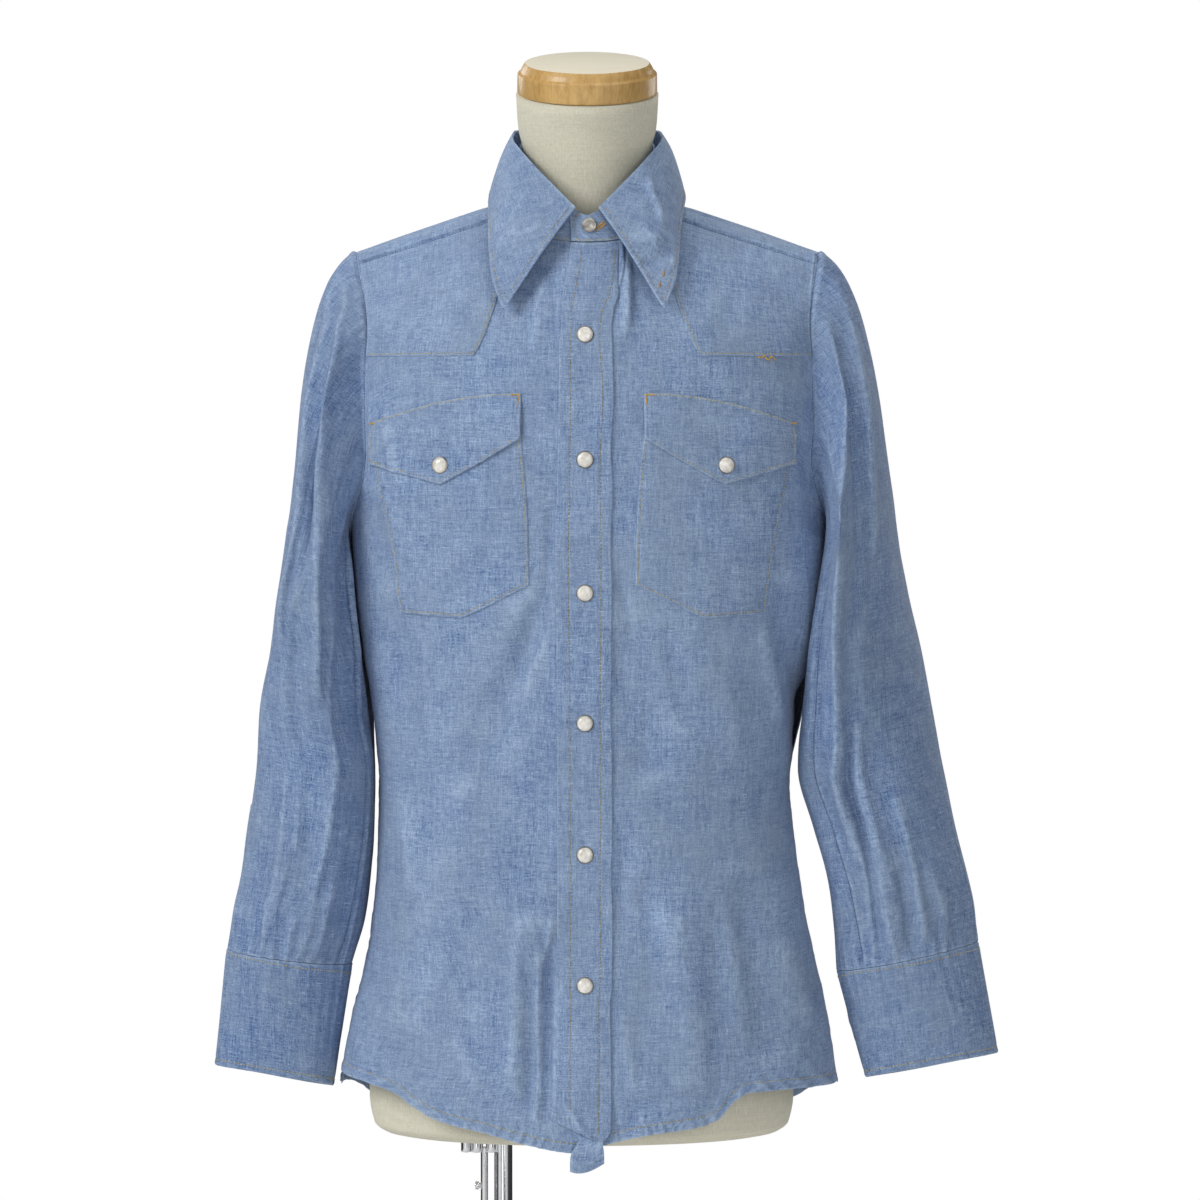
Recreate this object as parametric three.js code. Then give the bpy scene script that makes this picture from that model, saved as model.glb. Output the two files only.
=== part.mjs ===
// A chambray western shirt on a limbless dress form and its stand.
// Millimetres, +Z up. The shirt's front faces -Y and its centre line lies in the plane X = 0;
// the origin is on the floor, under the middle of the shirt.
import * as THREE from "three";
import { mergeVertices } from "three/addons/utils/BufferGeometryUtils.js";

// ---------------------------------------------------------------- driving dimensions

const CLOTH = 1.3; // wall of one layer of shirting with its seams
const DOUBLED = 1.7; // wall of a faced piece: placket, yoke, flap, pocket
const SEAM = 0.4; // space between two pieces at a seam
const LIFT = 1.1; // space under a piece that lies on a panel

const UNDERARM = 1150; // height of the underarm point
const YOKE_RING = 1300; // height of the last level ring, where the shoulder dome begins
const DOME = 100; // levels above the ring that the dome is counted in
const SCOOP = { height: 74, front: 17, back: 15 }; // the armhole's hollow, angles in degrees
const NECK_POINT = { x: 66, y: -8, z: 1403 }; // where shoulder seam and collar meet
const SHOULDER_POINT = { x: 176, y: -13, z: 1367 };
const NECK_FRONT = { y: -78, z: 1375 }; // pit of the neck
const NECK_BACK = { y: 62, z: 1415 };
const NECK_SHARE = 0.34; // share of a panel's width that its neckline takes

const PLACKET = { from: -22.4, to: 18.8, bottom: 705, slant: 10, tab: 680 };
const STAND_EDGE = 15; // the button stand's free edge, under the placket
const SNAP = { cap: 5.8, rim: 7, play: 0.3, clear: 0.5, cap_height: 3, rim_height: 1.5, sides: 10 };
const SNAP_ROW = { x: -1.5, levels: [1306, 1211.3, 1111.3, 1013, 913.3, 815], flat: 9.4 };
const BUTTON = { face: 4.6, widest: 5.6, foot: 5.2, height: 2.4 };
const CUFF_SNAPS = { column: 17, rows: [0, 2] }; // the cells of a cuff that carry its snaps
const SLEEVE_PLACKET = { columns: [16, 17, 18], rows: 5 };

// The collar stand's ends: how far each passes the centre in degrees, how far the outer one stands
// off and the angle it settles at.
const STAND_ENDS = { over: 10, under: 8, lift: 2.8, settle: 40 };
const LEAF_FULLNESS = 2.5;

// Where the sleeve's level sections begin and end, their number and the number of rings that turn
// in to the armhole; how strongly the cap and the underarm round over; and the arm's radius.
const SLEEVE = { low: 828, elbow: 1120, sections: 10, turns: 6, cap: 145, tuck: 12, arm: 55 };

const POLE = { x: -65, radius: 7, sides: 20 };
const ROD = { x: -79.7, radius: 2.8, low: 560, sides: 10 };
const BRACKET = { x: -85, length: 24, depth: 18, height: 10, z: 689.5 };
const KNOB = { z: 649, radius: 3.2, length: 4.4, sides: 12 };
const FORM_BOTTOM = 690;
const HEM_GAUGE = 700; // the hem is measured along the body's ring at this height
const FORM_SIDES = 28;
const BASE = { radius: 190, rim: 6, crown: 14 };
const CAP = { y: -20, z: 1490.4, tilt: 14, radius: 53.5, height: 24, bevel: 6 };

// ---------------------------------------------------------------- tables

// Half-widths and depths of the shirt's body at each height, on its left and right in the front
// view; power 2 is an ellipse, more is squarer.
const BODY = [
  { z: 670, left: 196, right: 197, front: 109, back: 119, power: 2.3 },
  { z: 735, left: 190, right: 192, front: 108, back: 117, power: 2.3 },
  { z: 784, left: 181, right: 185, front: 106, back: 112, power: 2.3 },
  { z: 829, left: 170, right: 175, front: 102, back: 107, power: 2.35 },
  { z: 867, left: 165, right: 167, front: 100, back: 103, power: 2.35 },
  { z: 910, left: 162, right: 161, front: 98, back: 98, power: 2.35 },
  { z: 960, left: 161, right: 156, front: 98, back: 95, power: 2.35 },
  { z: 1020, left: 166, right: 167, front: 102, back: 97, power: 2.35 },
  { z: 1064, left: 173, right: 176, front: 106, back: 101, power: 2.35 },
  { z: 1102, left: 178, right: 182, front: 110, back: 106, power: 2.3 },
  { z: 1150, left: 181, right: 186, front: 113, back: 110, power: 2.3 },
  { z: 1218, left: 183, right: 187, front: 114, back: 113, power: 2.25 },
  { z: 1260, left: 185, right: 188, front: 111, back: 113, power: 2.25 },
  { z: 1300, left: 186, right: 188, front: 104, back: 110, power: 2.2 },
];

// Height of the hem against the distance from the centre line.
const HEM_LEFT = [
  { x: 0, z: 688 },
  { x: 20, z: 690 },
  { x: 54, z: 697 },
  { x: 80, z: 704 },
  { x: 103, z: 709 },
  { x: 119, z: 714 },
  { x: 135, z: 723 },
  { x: 149, z: 731 },
  { x: 168, z: 736 },
  { x: 200, z: 741 },
];
const HEM_RIGHT = [
  { x: 0, z: 692 },
  { x: 43, z: 702 },
  { x: 85, z: 708 },
  { x: 100, z: 714 },
  { x: 110, z: 725 },
  { x: 123, z: 732 },
  { x: 153, z: 733 },
  { x: 200, z: 732 },
];
const HEM_BACK = [
  { x: 0, z: 689 },
  { x: 50, z: 692 },
  { x: 100, z: 698 },
  { x: 150, z: 707 },
  { x: 168, z: 716 },
  { x: 186, z: 730 },
  { x: 200, z: 733 },
];

// Soft folds of the body: a ridge, or with a negative height a trough, from a high end to a low end.
const FOLDS = [
  { face: "front", x1: -34, z1: 1104, x2: -92, z2: 968, width: 15, height: -3 },
  { face: "front", x1: -31, z1: 862, x2: -40, z2: 722, width: 9, height: -3.5 },
  { face: "front", x1: -44, z1: 880, x2: -52, z2: 730, width: 14, height: 3 },
  { face: "front", x1: 26, z1: 1092, x2: 54, z2: 972, width: 16, height: -2.5 },
  { face: "front", x1: 148, z1: 1120, x2: 168, z2: 985, width: 15, height: -3 },
  { face: "front", x1: 60, z1: 880, x2: 80, z2: 730, width: 18, height: 3.5 },
  { face: "front", x1: 120, z1: 900, x2: 142, z2: 760, width: 16, height: -3 },
  { face: "front", x1: -110, z1: 930, x2: -135, z2: 770, width: 20, height: 3 },
  { face: "front", x1: -150, z1: 1110, x2: -128, z2: 930, width: 16, height: -2.5 },
  { face: "front", x1: 30, z1: 1362, x2: 27, z2: 1300, width: 6, height: 1.8 },
  { face: "back", x1: -60, z1: 1120, x2: -40, z2: 900, width: 18, height: -5 },
  { face: "back", x1: 52, z1: 1150, x2: 36, z2: 930, width: 16, height: -4.5 },
  { face: "back", x1: -6, z1: 1040, x2: 4, z2: 800, width: 20, height: 4 },
  { face: "back", x1: -120, z1: 1080, x2: -98, z2: 860, width: 16, height: -4 },
  { face: "back", x1: 118, z1: 1060, x2: 104, z2: 840, width: 18, height: -4 },
  { face: "back", x1: 84, z1: 900, x2: 96, z2: 730, width: 20, height: 4 },
  { face: "back", x1: -80, z1: 880, x2: -92, z2: 730, width: 18, height: 3.5 },
];

// A sleeve's cross-sections: reach of its outer and inner side from the centre line, its front and
// back, how far its front edge leans to the body (-1..1), and how far the ring falls on its inner side.
const SLEEVE_LEFT = [
  { z: 828, outer: 278, inner: 182, front: 46, back: 42, lean: 0.1, drop: 12 },
  { z: 860, outer: 276, inner: 173, front: 50, back: 44, lean: 0.1, drop: 8 },
  { z: 887, outer: 270, inner: 169, front: 52, back: 46, lean: 0.05, drop: 4 },
  { z: 926, outer: 264, inner: 165, front: 54, back: 48, lean: 0, drop: 0 },
  { z: 971, outer: 257, inner: 164, front: 58, back: 54, lean: -0.1, drop: 0 },
  { z: 1017, outer: 251, inner: 168, front: 64, back: 62, lean: -0.1, drop: 0 },
  { z: 1062, outer: 243, inner: 176, front: 72, back: 72, lean: 0, drop: 0 },
  { z: 1102, outer: 238, inner: 180.5, front: 78, back: 78, lean: 0.1, drop: 0 },
  { z: 1133, outer: 233, inner: 183, front: 80, back: 82, lean: 0.1, drop: 0 },
  { z: 1200, outer: 222, inner: 190, front: 80, back: 84, lean: 0.1, drop: 0 },
];
const SLEEVE_RIGHT = [
  { z: 830, outer: 301, inner: 193, front: 40, back: 34, lean: -0.2, drop: 21 },
  { z: 860, outer: 299, inner: 189, front: 44, back: 38, lean: -0.25, drop: 12 },
  { z: 887, outer: 294, inner: 185, front: 47, back: 42, lean: -0.3, drop: 6 },
  { z: 926, outer: 285, inner: 177, front: 50, back: 46, lean: -0.35, drop: 0 },
  { z: 975, outer: 275, inner: 166, front: 54, back: 52, lean: -0.42, drop: 0 },
  { z: 1020, outer: 267, inner: 170, front: 62, back: 62, lean: -0.45, drop: 0 },
  { z: 1062, outer: 258, inner: 179.5, front: 70, back: 72, lean: -0.47, drop: 0 },
  { z: 1102, outer: 249, inner: 185, front: 77, back: 79, lean: -0.47, drop: 0 },
  { z: 1133, outer: 243, inner: 189, front: 80, back: 82, lean: -0.45, drop: 0 },
  { z: 1200, outer: 229, inner: 194, front: 80, back: 84, lean: -0.4, drop: 0 },
];

// Folds that run round or along a sleeve: at an angle from its outer side (front is -90), between
// two heights.
const SLEEVE_FOLDS = [
  { side: -1, angle: -62, z1: 1330, z2: 1180, width: 16, height: 3.5 },
  { side: -1, angle: -30, z1: 1320, z2: 1160, width: 14, height: -3 },
  { side: -1, angle: -70, z1: 1100, z2: 900, width: 18, height: -4 },
  { side: -1, angle: -40, z1: 1060, z2: 850, width: 18, height: 3 },
  { side: -1, angle: -118, z1: 1000, z2: 840, width: 16, height: 3 },
  { side: -1, angle: 70, z1: 1240, z2: 1000, width: 20, height: -5 },
  { side: -1, angle: 100, z1: 1050, z2: 850, width: 18, height: 4 },
  { side: -1, angle: 45, z1: 1020, z2: 860, width: 16, height: -3 },
  { side: 1, angle: -100, z1: 1290, z2: 960, width: 14, height: 4 },
  { side: 1, angle: -55, z1: 1250, z2: 1050, width: 20, height: -4 },
  { side: 1, angle: -40, z1: 1010, z2: 850, width: 18, height: 3 },
  { side: 1, angle: -120, z1: 1000, z2: 830, width: 14, height: -4 },
  { side: 1, angle: 80, z1: 1230, z2: 980, width: 20, height: -5 },
  { side: 1, angle: 60, z1: 1000, z2: 850, width: 18, height: 4 },
  { side: 1, angle: 115, z1: 1060, z2: 870, width: 16, height: -3 },
];

// A cuff's free edge, in the terms of a sleeve's section.
const CUFF_LEFT = { outer: 286.5, inner: 197.5, front: 31, back: 29, lean: 0.05, z: 735, drop: 16 };
const CUFF_RIGHT = { outer: 316, inner: 216, front: 27, back: 22, lean: -0.15, z: 743, drop: 19 };

// A breast pocket and its flap on the left breast, outward from the centre line.
const FLAP = {
  top: [
    { x: 46, z: 1261 },
    { x: 66, z: 1260.5 },
    { x: 88, z: 1258 },
    { x: 112, z: 1253.5 },
    { x: 138, z: 1246 },
    { x: 161, z: 1238.5 },
  ],
  bottom: [
    { x: 46.5, z: 1227 },
    { x: 76, z: 1209 },
    { x: 102, z: 1194.5 },
    { x: 106, z: 1192.5 },
    { x: 133, z: 1200 },
    { x: 160, z: 1207.5 },
  ],
};
const POCKET = {
  top: 1233,
  inner: [
    { z: 1117, x: 40 },
    { z: 1155, x: 40.5 },
    { z: 1200, x: 43 },
    { z: 1233, x: 47 },
  ],
  outer: [
    { z: 1095, x: 139.5 },
    { z: 1130, x: 142.5 },
    { z: 1165, x: 148 },
    { z: 1200, x: 156 },
    { z: 1233, x: 160 },
  ],
  bottom: [
    { x: 40, z: 1117 },
    { x: 92, z: 1092 },
    { x: 139.5, z: 1095 },
  ],
};
const POCKET_SHIFT = { left: 3.5, right: -3.5 };
const POCKET_SNAP = { left: 109, right: 103.5, z: 1207 };
// The front yoke's level line, where it steps up, and its shares at the neck and at the sleeve.
const YOKE_LINE = { z: 1289, step: 85, neck: 0.24, edge: 0.955 };

// The collar leaf from its front edge round to the centre back: fold line, then free edge.
const LEAF = [
  { t: 0, fx: 8.5, fy: -81, fz: 1401, ex: 63, ey: -104.5, ez: 1327 },
  { t: 0.16, fx: 23, fy: -70, fz: 1416, ex: 72.5, ey: -88, ez: 1352 },
  { t: 0.34, fx: 42, fy: -45, fz: 1438, ex: 75, ey: -56, ez: 1382 },
  { t: 0.52, fx: 54.5, fy: -8, fz: 1457, ex: 75.5, ey: -14, ez: 1407 },
  { t: 0.7, fx: 53, fy: 26, fz: 1464, ex: 74, ey: 36, ez: 1417 },
  { t: 0.86, fx: 34, fy: 52, fz: 1466, ex: 48, ey: 76, ez: 1414 },
  { t: 1, fx: 0, fy: 62, fz: 1466, ex: 0, ey: 90, ez: 1410 },
];
// The top edge of the collar stand, against the angle round the neck from the front.
const STAND_TOP = [
  { angle: 0, radius: 76, z: 1395 },
  { angle: 25, radius: 67, z: 1411 },
  { angle: 55, radius: 56.5, z: 1434 },
  { angle: 90, radius: 51.5, z: 1451 },
  { angle: 140, radius: 53.5, z: 1459 },
  { angle: 180, radius: 56, z: 1459 },
];

// Half-width and depths of the dress form, smooth all the way up; its neck leans forward.
const FORM = [
  { z: 690, half: 140, front: 76, back: 80 },
  { z: 692.5, half: 152, front: 86, back: 92 },
  { z: 699, half: 160, front: 92, back: 98.5 },
  { z: 720, half: 164, front: 95, back: 104 },
  { z: 800, half: 160, front: 94, back: 100 },
  { z: 880, half: 148, front: 86, back: 86 },
  { z: 950, half: 142, front: 84, back: 80 },
  { z: 1040, half: 152, front: 92, back: 86 },
  { z: 1140, half: 163, front: 102, back: 97 },
  { z: 1230, half: 166, front: 104, back: 101 },
  { z: 1290, half: 166, front: 95, back: 97 },
  { z: 1330, half: 161, front: 78, back: 82 },
  { z: 1352, half: 146, front: 66, back: 72 },
  { z: 1368, half: 118, front: 56, back: 63 },
  { z: 1382, half: 82, front: 48, back: 56 },
  { z: 1394, half: 60, front: 47, back: 52 },
  { z: 1408, half: 51, front: 49, back: 47 },
  { z: 1428, half: 48.5, front: 52, back: 42 },
  { z: 1446, half: 49, front: 56, back: 37 },
  { z: 1465, half: 53, front: 62, back: 33 },
  { z: 1490, half: 54.5, front: 73, back: 33 },
];
const NECK_TILT = { from: 1408, to: 1490, degrees: 14 };

// ---------------------------------------------------------------- helpers

const { degToRad, clamp, lerp } = THREE.MathUtils;
const vector = (x, y, z) => new THREE.Vector3(x, y, z);
const shirt = new THREE.Group();
const SIDES = [["right", -1], ["left", 1]]; // the wearer's sides, and the sign of X on each

// Smooth monotone interpolation through a table's rows: each column as a function of the key.
function through(rows, key) {
  const names = Object.keys(rows[0]).filter((name) => name !== key);
  const last = rows.length - 1;
  const slope = (i, name) => (rows[i + 1][name] - rows[i][name]) / (rows[i + 1][key] - rows[i][key]);
  const tangent = (i, name) => {
    if (i === 0) return slope(0, name);
    if (i === last) return slope(last - 1, name);
    const before = slope(i - 1, name);
    const after = slope(i, name);
    return before * after <= 0 ? 0 : (2 * before * after) / (before + after);
  };
  return (value) => {
    let i = 0;
    while (i < last - 1 && value > rows[i + 1][key]) i += 1;
    const span = rows[i + 1][key] - rows[i][key];
    const t = clamp((value - rows[i][key]) / span, 0, 1);
    const found = {};
    for (const name of names) {
      const rise = span * (t * (1 - t) ** 2 * tangent(i, name) - t * t * (1 - t) * tangent(i + 1, name));
      found[name] = lerp(rows[i][name], rows[i + 1][name], t * t * (3 - 2 * t)) + rise;
    }
    return found;
  };
}

// A Hermite curve's point between two points with their tangents.
function hermite(from, leaving, to, arriving, t) {
  const out = from.clone().multiplyScalar(1 + t * t * (2 * t - 3));
  out.addScaledVector(leaving, t * (1 - t) ** 2);
  out.addScaledVector(to, t * t * (3 - 2 * t));
  return out.addScaledVector(arriving, -t * t * (1 - t));
}

// Outward normals of a grid of points: columns run left to right and rows upwards, seen from outside.
function normalsOf(grid, closed) {
  const columns = grid[0].length;
  const beside = (i) => (closed ? (i + columns) % columns : clamp(i, 0, columns - 1));
  const at = (j, i) => grid[clamp(j, 0, grid.length - 1)][beside(i)];
  return grid.map((row, j) =>
    row.map((_, i) => {
      const across = at(j, i + 1).clone().sub(at(j, i - 1));
      const up = at(j + 1, i).clone().sub(at(j - 1, i));
      return across.cross(up).normalize();
    }),
  );
}

// The grid moved out along its normals.
function moved(grid, distance, closed = false) {
  const normals = normalsOf(grid, closed);
  const shifted = (point, normal) => point.clone().addScaledVector(normal, distance);
  return grid.map((row, j) => row.map((point, i) => shifted(point, normals[j][i])));
}

// One closed cloth wall: the grid is its outer face and the wall goes inwards from it.
function wall(grid, thickness, closed = false) {
  const rows = grid.length;
  const columns = grid[0].length;
  const steps = closed ? columns : columns - 1;
  const points = [...grid.flat(), ...moved(grid, -thickness, closed).flat()];
  const inner = rows * columns;
  const id = (j, i) => j * columns + (i % columns);
  const faces = [];
  const quad = (a, b, c, d) => faces.push(a, b, c, a, c, d);
  for (let j = 0; j < rows - 1; j += 1) {
    for (let i = 0; i < steps; i += 1) {
      const [a, b, c, d] = [id(j, i), id(j, i + 1), id(j + 1, i + 1), id(j + 1, i)];
      // Each cell is cut along its shorter diagonal, on both faces of the wall.
      const fromA = points[a].distanceTo(points[c]) <= points[b].distanceTo(points[d]);
      const cell = fromA ? [a, b, c, d] : [b, c, d, a];
      quad(...cell);
      const [p, q, r, t] = cell.map((corner) => corner + inner);
      quad(p, t, r, q);
    }
  }
  const edge = (p, q) => quad(q, p, p + inner, q + inner);
  for (let i = 0; i < steps; i += 1) {
    edge(id(0, i), id(0, i + 1));
    edge(id(rows - 1, i + 1), id(rows - 1, i));
  }
  for (let j = 0; j < rows - 1 && !closed; j += 1) {
    edge(id(j + 1, 0), id(j, 0));
    edge(id(j, columns - 1), id(j + 1, columns - 1));
  }
  const geometry = new THREE.BufferGeometry().setFromPoints(points);
  geometry.setIndex(faces);
  return geometry;
}

const range = (count, from, to) => Array.from({ length: count + 1 }, (_, i) => lerp(from, to, i / count));
const gridOf = (columns, rows, point) => rows.map((row) => columns.map((column) => point(column, row)));

function add(name, geometry, material) {
  geometry.computeVertexNormals();
  const mesh = new THREE.Mesh(geometry, material);
  mesh.name = name;
  shirt.add(mesh);
  return mesh;
}

function finish(color, roughness, metalness = 0) {
  return new THREE.MeshStandardMaterial({ color, roughness, metalness });
}
const CHAMBRAY = finish(0x7a98c2, 0.9);
const LINEN = finish(0xcfc9b0, 0.95);
const WOOD = finish(0xd9b36b, 0.45);
const CHROME = finish(0xc8ccd0, 0.15, 1);
const PEARL = finish(0xf1eee6, 0.2);
const NICKEL = finish(0x6f6a62, 0.35, 1);

// ---------------------------------------------------------------- the body's surface

const body = through(BODY, "z");
const frontHems = { "-1": through(HEM_LEFT, "x"), 1: through(HEM_RIGHT, "x") };
const backHem = through(HEM_BACK, "x");

const halfWidth = (side, z) => (side < 0 ? body(z).left : body(z).right);

// A panel's quarter turn, less its part of the side seam's gap, and the armhole's hollow in it.
const quarter = (side, z) => Math.PI / 2 - SEAM / 2 / halfWidth(side, z);
function scoop(face, z) {
  const rise = clamp((z - UNDERARM) / SCOOP.height, 0, 1);
  return degToRad(SCOOP[face]) * (1 - (1 - rise) ** 2.5);
}

// The angle from the centre line, seen from above, of a share of a panel's width, and back again.
const angleOf = (side, face, share, z) => share * quarter(side, z) - scoop(face, z) * share ** 4;
function shareOf(side, face, angle, z) {
  let share = 0;
  for (let i = 0; i < 8; i += 1) share = (angle + scoop(face, z) * share ** 4) / quarter(side, z);
  return share;
}

// The body's point at an angle and a height, on a rounded oblong ring.
function ringPoint(side, face, angle, z) {
  const section = body(z);
  const across = Math.abs(Math.sin(angle) / halfWidth(side, z)) ** section.power;
  const along = Math.abs(Math.cos(angle) / section[face]) ** section.power;
  const reach = (across + along) ** (-1 / section.power);
  const forward = face === "front" ? -1 : 1;
  return vector(side * reach * Math.sin(angle), forward * reach * Math.cos(angle), z);
}

// How far the folds raise the cloth at a place.
function foldHeight(face, x, z) {
  let height = 0;
  for (const fold of FOLDS.filter((one) => one.face === face)) {
    const run = new THREE.Vector2(fold.x2 - fold.x1, fold.z2 - fold.z1);
    const from = new THREE.Vector2(x - fold.x1, z - fold.z1);
    const along = from.dot(run) / run.lengthSq();
    if (along <= 0 || along >= 1) continue;
    const beside = from.cross(run) / run.length();
    const taper = 1 - (2 * along - 1) ** 4;
    height += fold.height * taper * Math.exp(-((beside / fold.width) ** 2));
  }
  return height;
}

// The neckline and the shoulder seam, from the centre line outwards.
function topPoint(side, face, share) {
  if (share >= NECK_SHARE) {
    const t = (share - NECK_SHARE) / (1 - NECK_SHARE);
    const behind = face === "back" ? 2 * SEAM : 0; // the shoulder seam's gap
    const x = side * lerp(NECK_POINT.x, SHOULDER_POINT.x, t);
    const y = lerp(NECK_POINT.y, SHOULDER_POINT.y, t) + behind;
    return vector(x, y, lerp(NECK_POINT.z, SHOULDER_POINT.z, t));
  }
  const turn = (share / NECK_SHARE) * (Math.PI / 2);
  const centre = face === "front" ? NECK_FRONT : NECK_BACK;
  const y = lerp(NECK_POINT.y, centre.y, Math.cos(turn));
  const rise = Math.cos(turn) ** (face === "front" ? 1 : 2);
  return vector(side * NECK_POINT.x * Math.sin(turn), y, lerp(NECK_POINT.z, centre.z, rise));
}

// The way the cloth runs as it reaches the neckline or the shoulder seam.
function topTangent(face, share) {
  const front = THREE.MathUtils.smoothstep(share, 0, NECK_SHARE);
  if (face === "front") return vector(0, lerp(0.45, 0.86, front), lerp(0.89, 0.5, front));
  const back = THREE.MathUtils.smoothstep(share, 0, 1.3 * NECK_SHARE);
  return vector(0, lerp(-0.6, -1.25, back), lerp(0.7, -0.5, back));
}

// A point of the body's cloth: its share of the way from the centre line to the panel's edge, and
// its level, which is its height up to the yoke ring and goes on counting over the dome.
function bodyPoint(side, face, share, level) {
  const z = Math.min(level, YOKE_RING);
  const angle = angleOf(side, face, share, z);
  const ring = ringPoint(side, face, angle, z);
  if (level <= YOKE_RING) {
    const out = vector(ring.x, ring.y, 0).normalize();
    return ring.addScaledVector(out, foldHeight(face, ring.x, z));
  }
  const below = ringPoint(side, face, angle, YOKE_RING - 1);
  const top = topPoint(side, face, share);
  const span = ring.distanceTo(top);
  const leaving = ring.clone().sub(below).multiplyScalar(span);
  const arriving = topTangent(face, share).multiplyScalar(span);
  const point = hermite(ring, leaving, top, arriving, (level - YOKE_RING) / DOME);
  const out = vector(point.x, point.y, 0).normalize();
  return point.addScaledVector(out, foldHeight(face, point.x, point.z));
}

// The share of a panel that lies within a distance of the centre line, at a level.
function shareAt(side, face, x, level) {
  const z = Math.min(level, YOKE_RING);
  const section = body(z);
  const y = section[face] * (1 - (x / halfWidth(side, z)) ** section.power) ** (1 / section.power);
  const onRing = shareOf(side, face, Math.atan2(x, y), z);
  if (level <= YOKE_RING) return onRing;
  const onNeck = (NECK_SHARE * Math.asin(x / NECK_POINT.x)) / (Math.PI / 2);
  return lerp(onRing, onNeck, (level - YOKE_RING) / DOME);
}

// A point of the front at a signed distance from the centre line.
const frontPoint = (x, level) => {
  const side = x < 0 ? -1 : 1;
  return bodyPoint(side, "front", shareAt(side, "front", Math.abs(x), level), level);
};

// The hem's height below a share of a panel.
function hemLevel(side, face, share) {
  const x = Math.abs(ringPoint(side, face, share * quarter(side, HEM_GAUGE), HEM_GAUGE).x);
  return face === "back" ? backHem(x).z : frontHems[side](x).z;
}

// ---------------------------------------------------------------- fronts, back and yokes

const HEM_ROWS = range(11, 0, 1); // shares of the height from the hem to the underarm
const ARMHOLE_ROWS = [6, 17, 34, 56, 82, 114, 150].map((rise) => UNDERARM + rise);
const DOME_ROWS = range(5, YOKE_RING, YOKE_RING + DOME).slice(1);
const FRONT_LEVELS = [...ARMHOLE_ROWS, ...DOME_ROWS];
const YOKE_SEAM = { side: 1262, point: 26, rows: [0.05, 0.16, 0.32, 0.55, 0.78, 1] };
const YOKE_ROWS = range(7, 0, 1);

// A front from a distance off the centre line to its side: each row's level may vary along it.
function frontPanel(side, inner) {
  const low = shareAt(side, "front", inner, UNDERARM);
  const fromHem = HEM_ROWS.map((t) => (across) => {
    return lerp(hemLevel(side, "front", lerp(low, 1, across)), UNDERARM, t);
  });
  const rows = [...fromHem, ...FRONT_LEVELS.map((level) => () => level)];
  return gridOf(range(10, 0, 1), rows, (across, levelOf) => {
    const level = levelOf(across);
    return bodyPoint(side, "front", lerp(shareAt(side, "front", inner, level), 1, across), level);
  });
}
const mirrored = (grid) => grid.map((row) => [...row].reverse());

const frontRight = mirrored(frontPanel(-1, -PLACKET.from));
const frontLeft = frontPanel(1, STAND_EDGE + 2 * SEAM);
add("front_right", wall(frontRight, CLOTH), CHAMBRAY);
add("front_left", wall(frontLeft, CLOTH), CHAMBRAY);

// The back and the back yoke are one surface, parted along a seam that dips to a point.
const yokeSeam = (share) => YOKE_SEAM.side - YOKE_SEAM.point * (1 - Math.abs(share)) ** 1.6;
const backColumns = range(18, 1, -1);
const backPoint = (share, level) => bodyPoint(share < 0 ? -1 : 1, "back", Math.abs(share), level);
const backLow = HEM_ROWS.map((t) =>
  backColumns.map((share) => {
    const low = hemLevel(Math.sign(share) || 1, "back", Math.abs(share));
    return backPoint(share, lerp(low, UNDERARM, t));
  }),
);
const backHigh = YOKE_SEAM.rows.map((t) =>
  backColumns.map((share) => backPoint(share, lerp(UNDERARM, yokeSeam(share) - (t === 1 ? SEAM : 0), t))),
);
const yokeBack = YOKE_ROWS.map((t) =>
  backColumns.map((share) => backPoint(share, lerp(yokeSeam(share), YOKE_RING + DOME, t ** 0.9))),
);
add("back", wall([...backLow, ...backHigh], CLOTH), CHAMBRAY);
add("yoke_back", wall(yokeBack, CLOTH), CHAMBRAY);

// A piece that lies on the front: the panel's own points, moved out over what is below it.
const onTop = (grid, below, thickness) => wall(moved(grid, below + thickness), thickness);

// The front yoke steps up towards the collar; its outer edge stops short of the sleeve's seam.
function yokeFront(side) {
  const innerAt = (level) => {
    const onLine = shareAt(side, "front", YOKE_LINE.step, YOKE_LINE.z);
    return lerp(onLine, YOKE_LINE.neck, (level - YOKE_LINE.z) / (YOKE_RING + DOME - YOKE_LINE.z));
  };
  const levels = [YOKE_LINE.z, YOKE_RING, ...DOME_ROWS.slice(0, -1), YOKE_RING + DOME - 3];
  return gridOf(range(7, 0, 1), levels, (t, level) =>
    bodyPoint(side, "front", lerp(innerAt(level), YOKE_LINE.edge, t), level),
  );
}
add("yoke_front_right", onTop(mirrored(yokeFront(-1)), LIFT, DOUBLED), CHAMBRAY);
add("yoke_front_left", onTop(yokeFront(1), LIFT, DOUBLED), CHAMBRAY);

// The placket covers the button stand, whose end shows below it.
const plackets = gridOf(range(4, -1, 1), range(22, 0, 1), (across, t) => {
  const low = PLACKET.bottom - across * PLACKET.slant;
  return frontPoint(lerp(PLACKET.from, PLACKET.to, (across + 1) / 2), lerp(low, YOKE_RING + DOME - 3, t));
});
add("placket", onTop(plackets, LIFT, DOUBLED), CHAMBRAY);
const standStrip = gridOf(range(3, PLACKET.from + 2 * SEAM, STAND_EDGE), range(16, 0, 1), (x, t) =>
  frontPoint(x, lerp(PLACKET.tab, YOKE_RING + DOME, t)),
);
add("button_stand", wall(standStrip, CLOTH), CHAMBRAY);

// A pocket's or flap's point: distance and height on the breast of one side.
function breast(side, x, z) {
  const shift = side < 0 ? POCKET_SHIFT.left : POCKET_SHIFT.right;
  return frontPoint(side * (x + shift), z);
}

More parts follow.
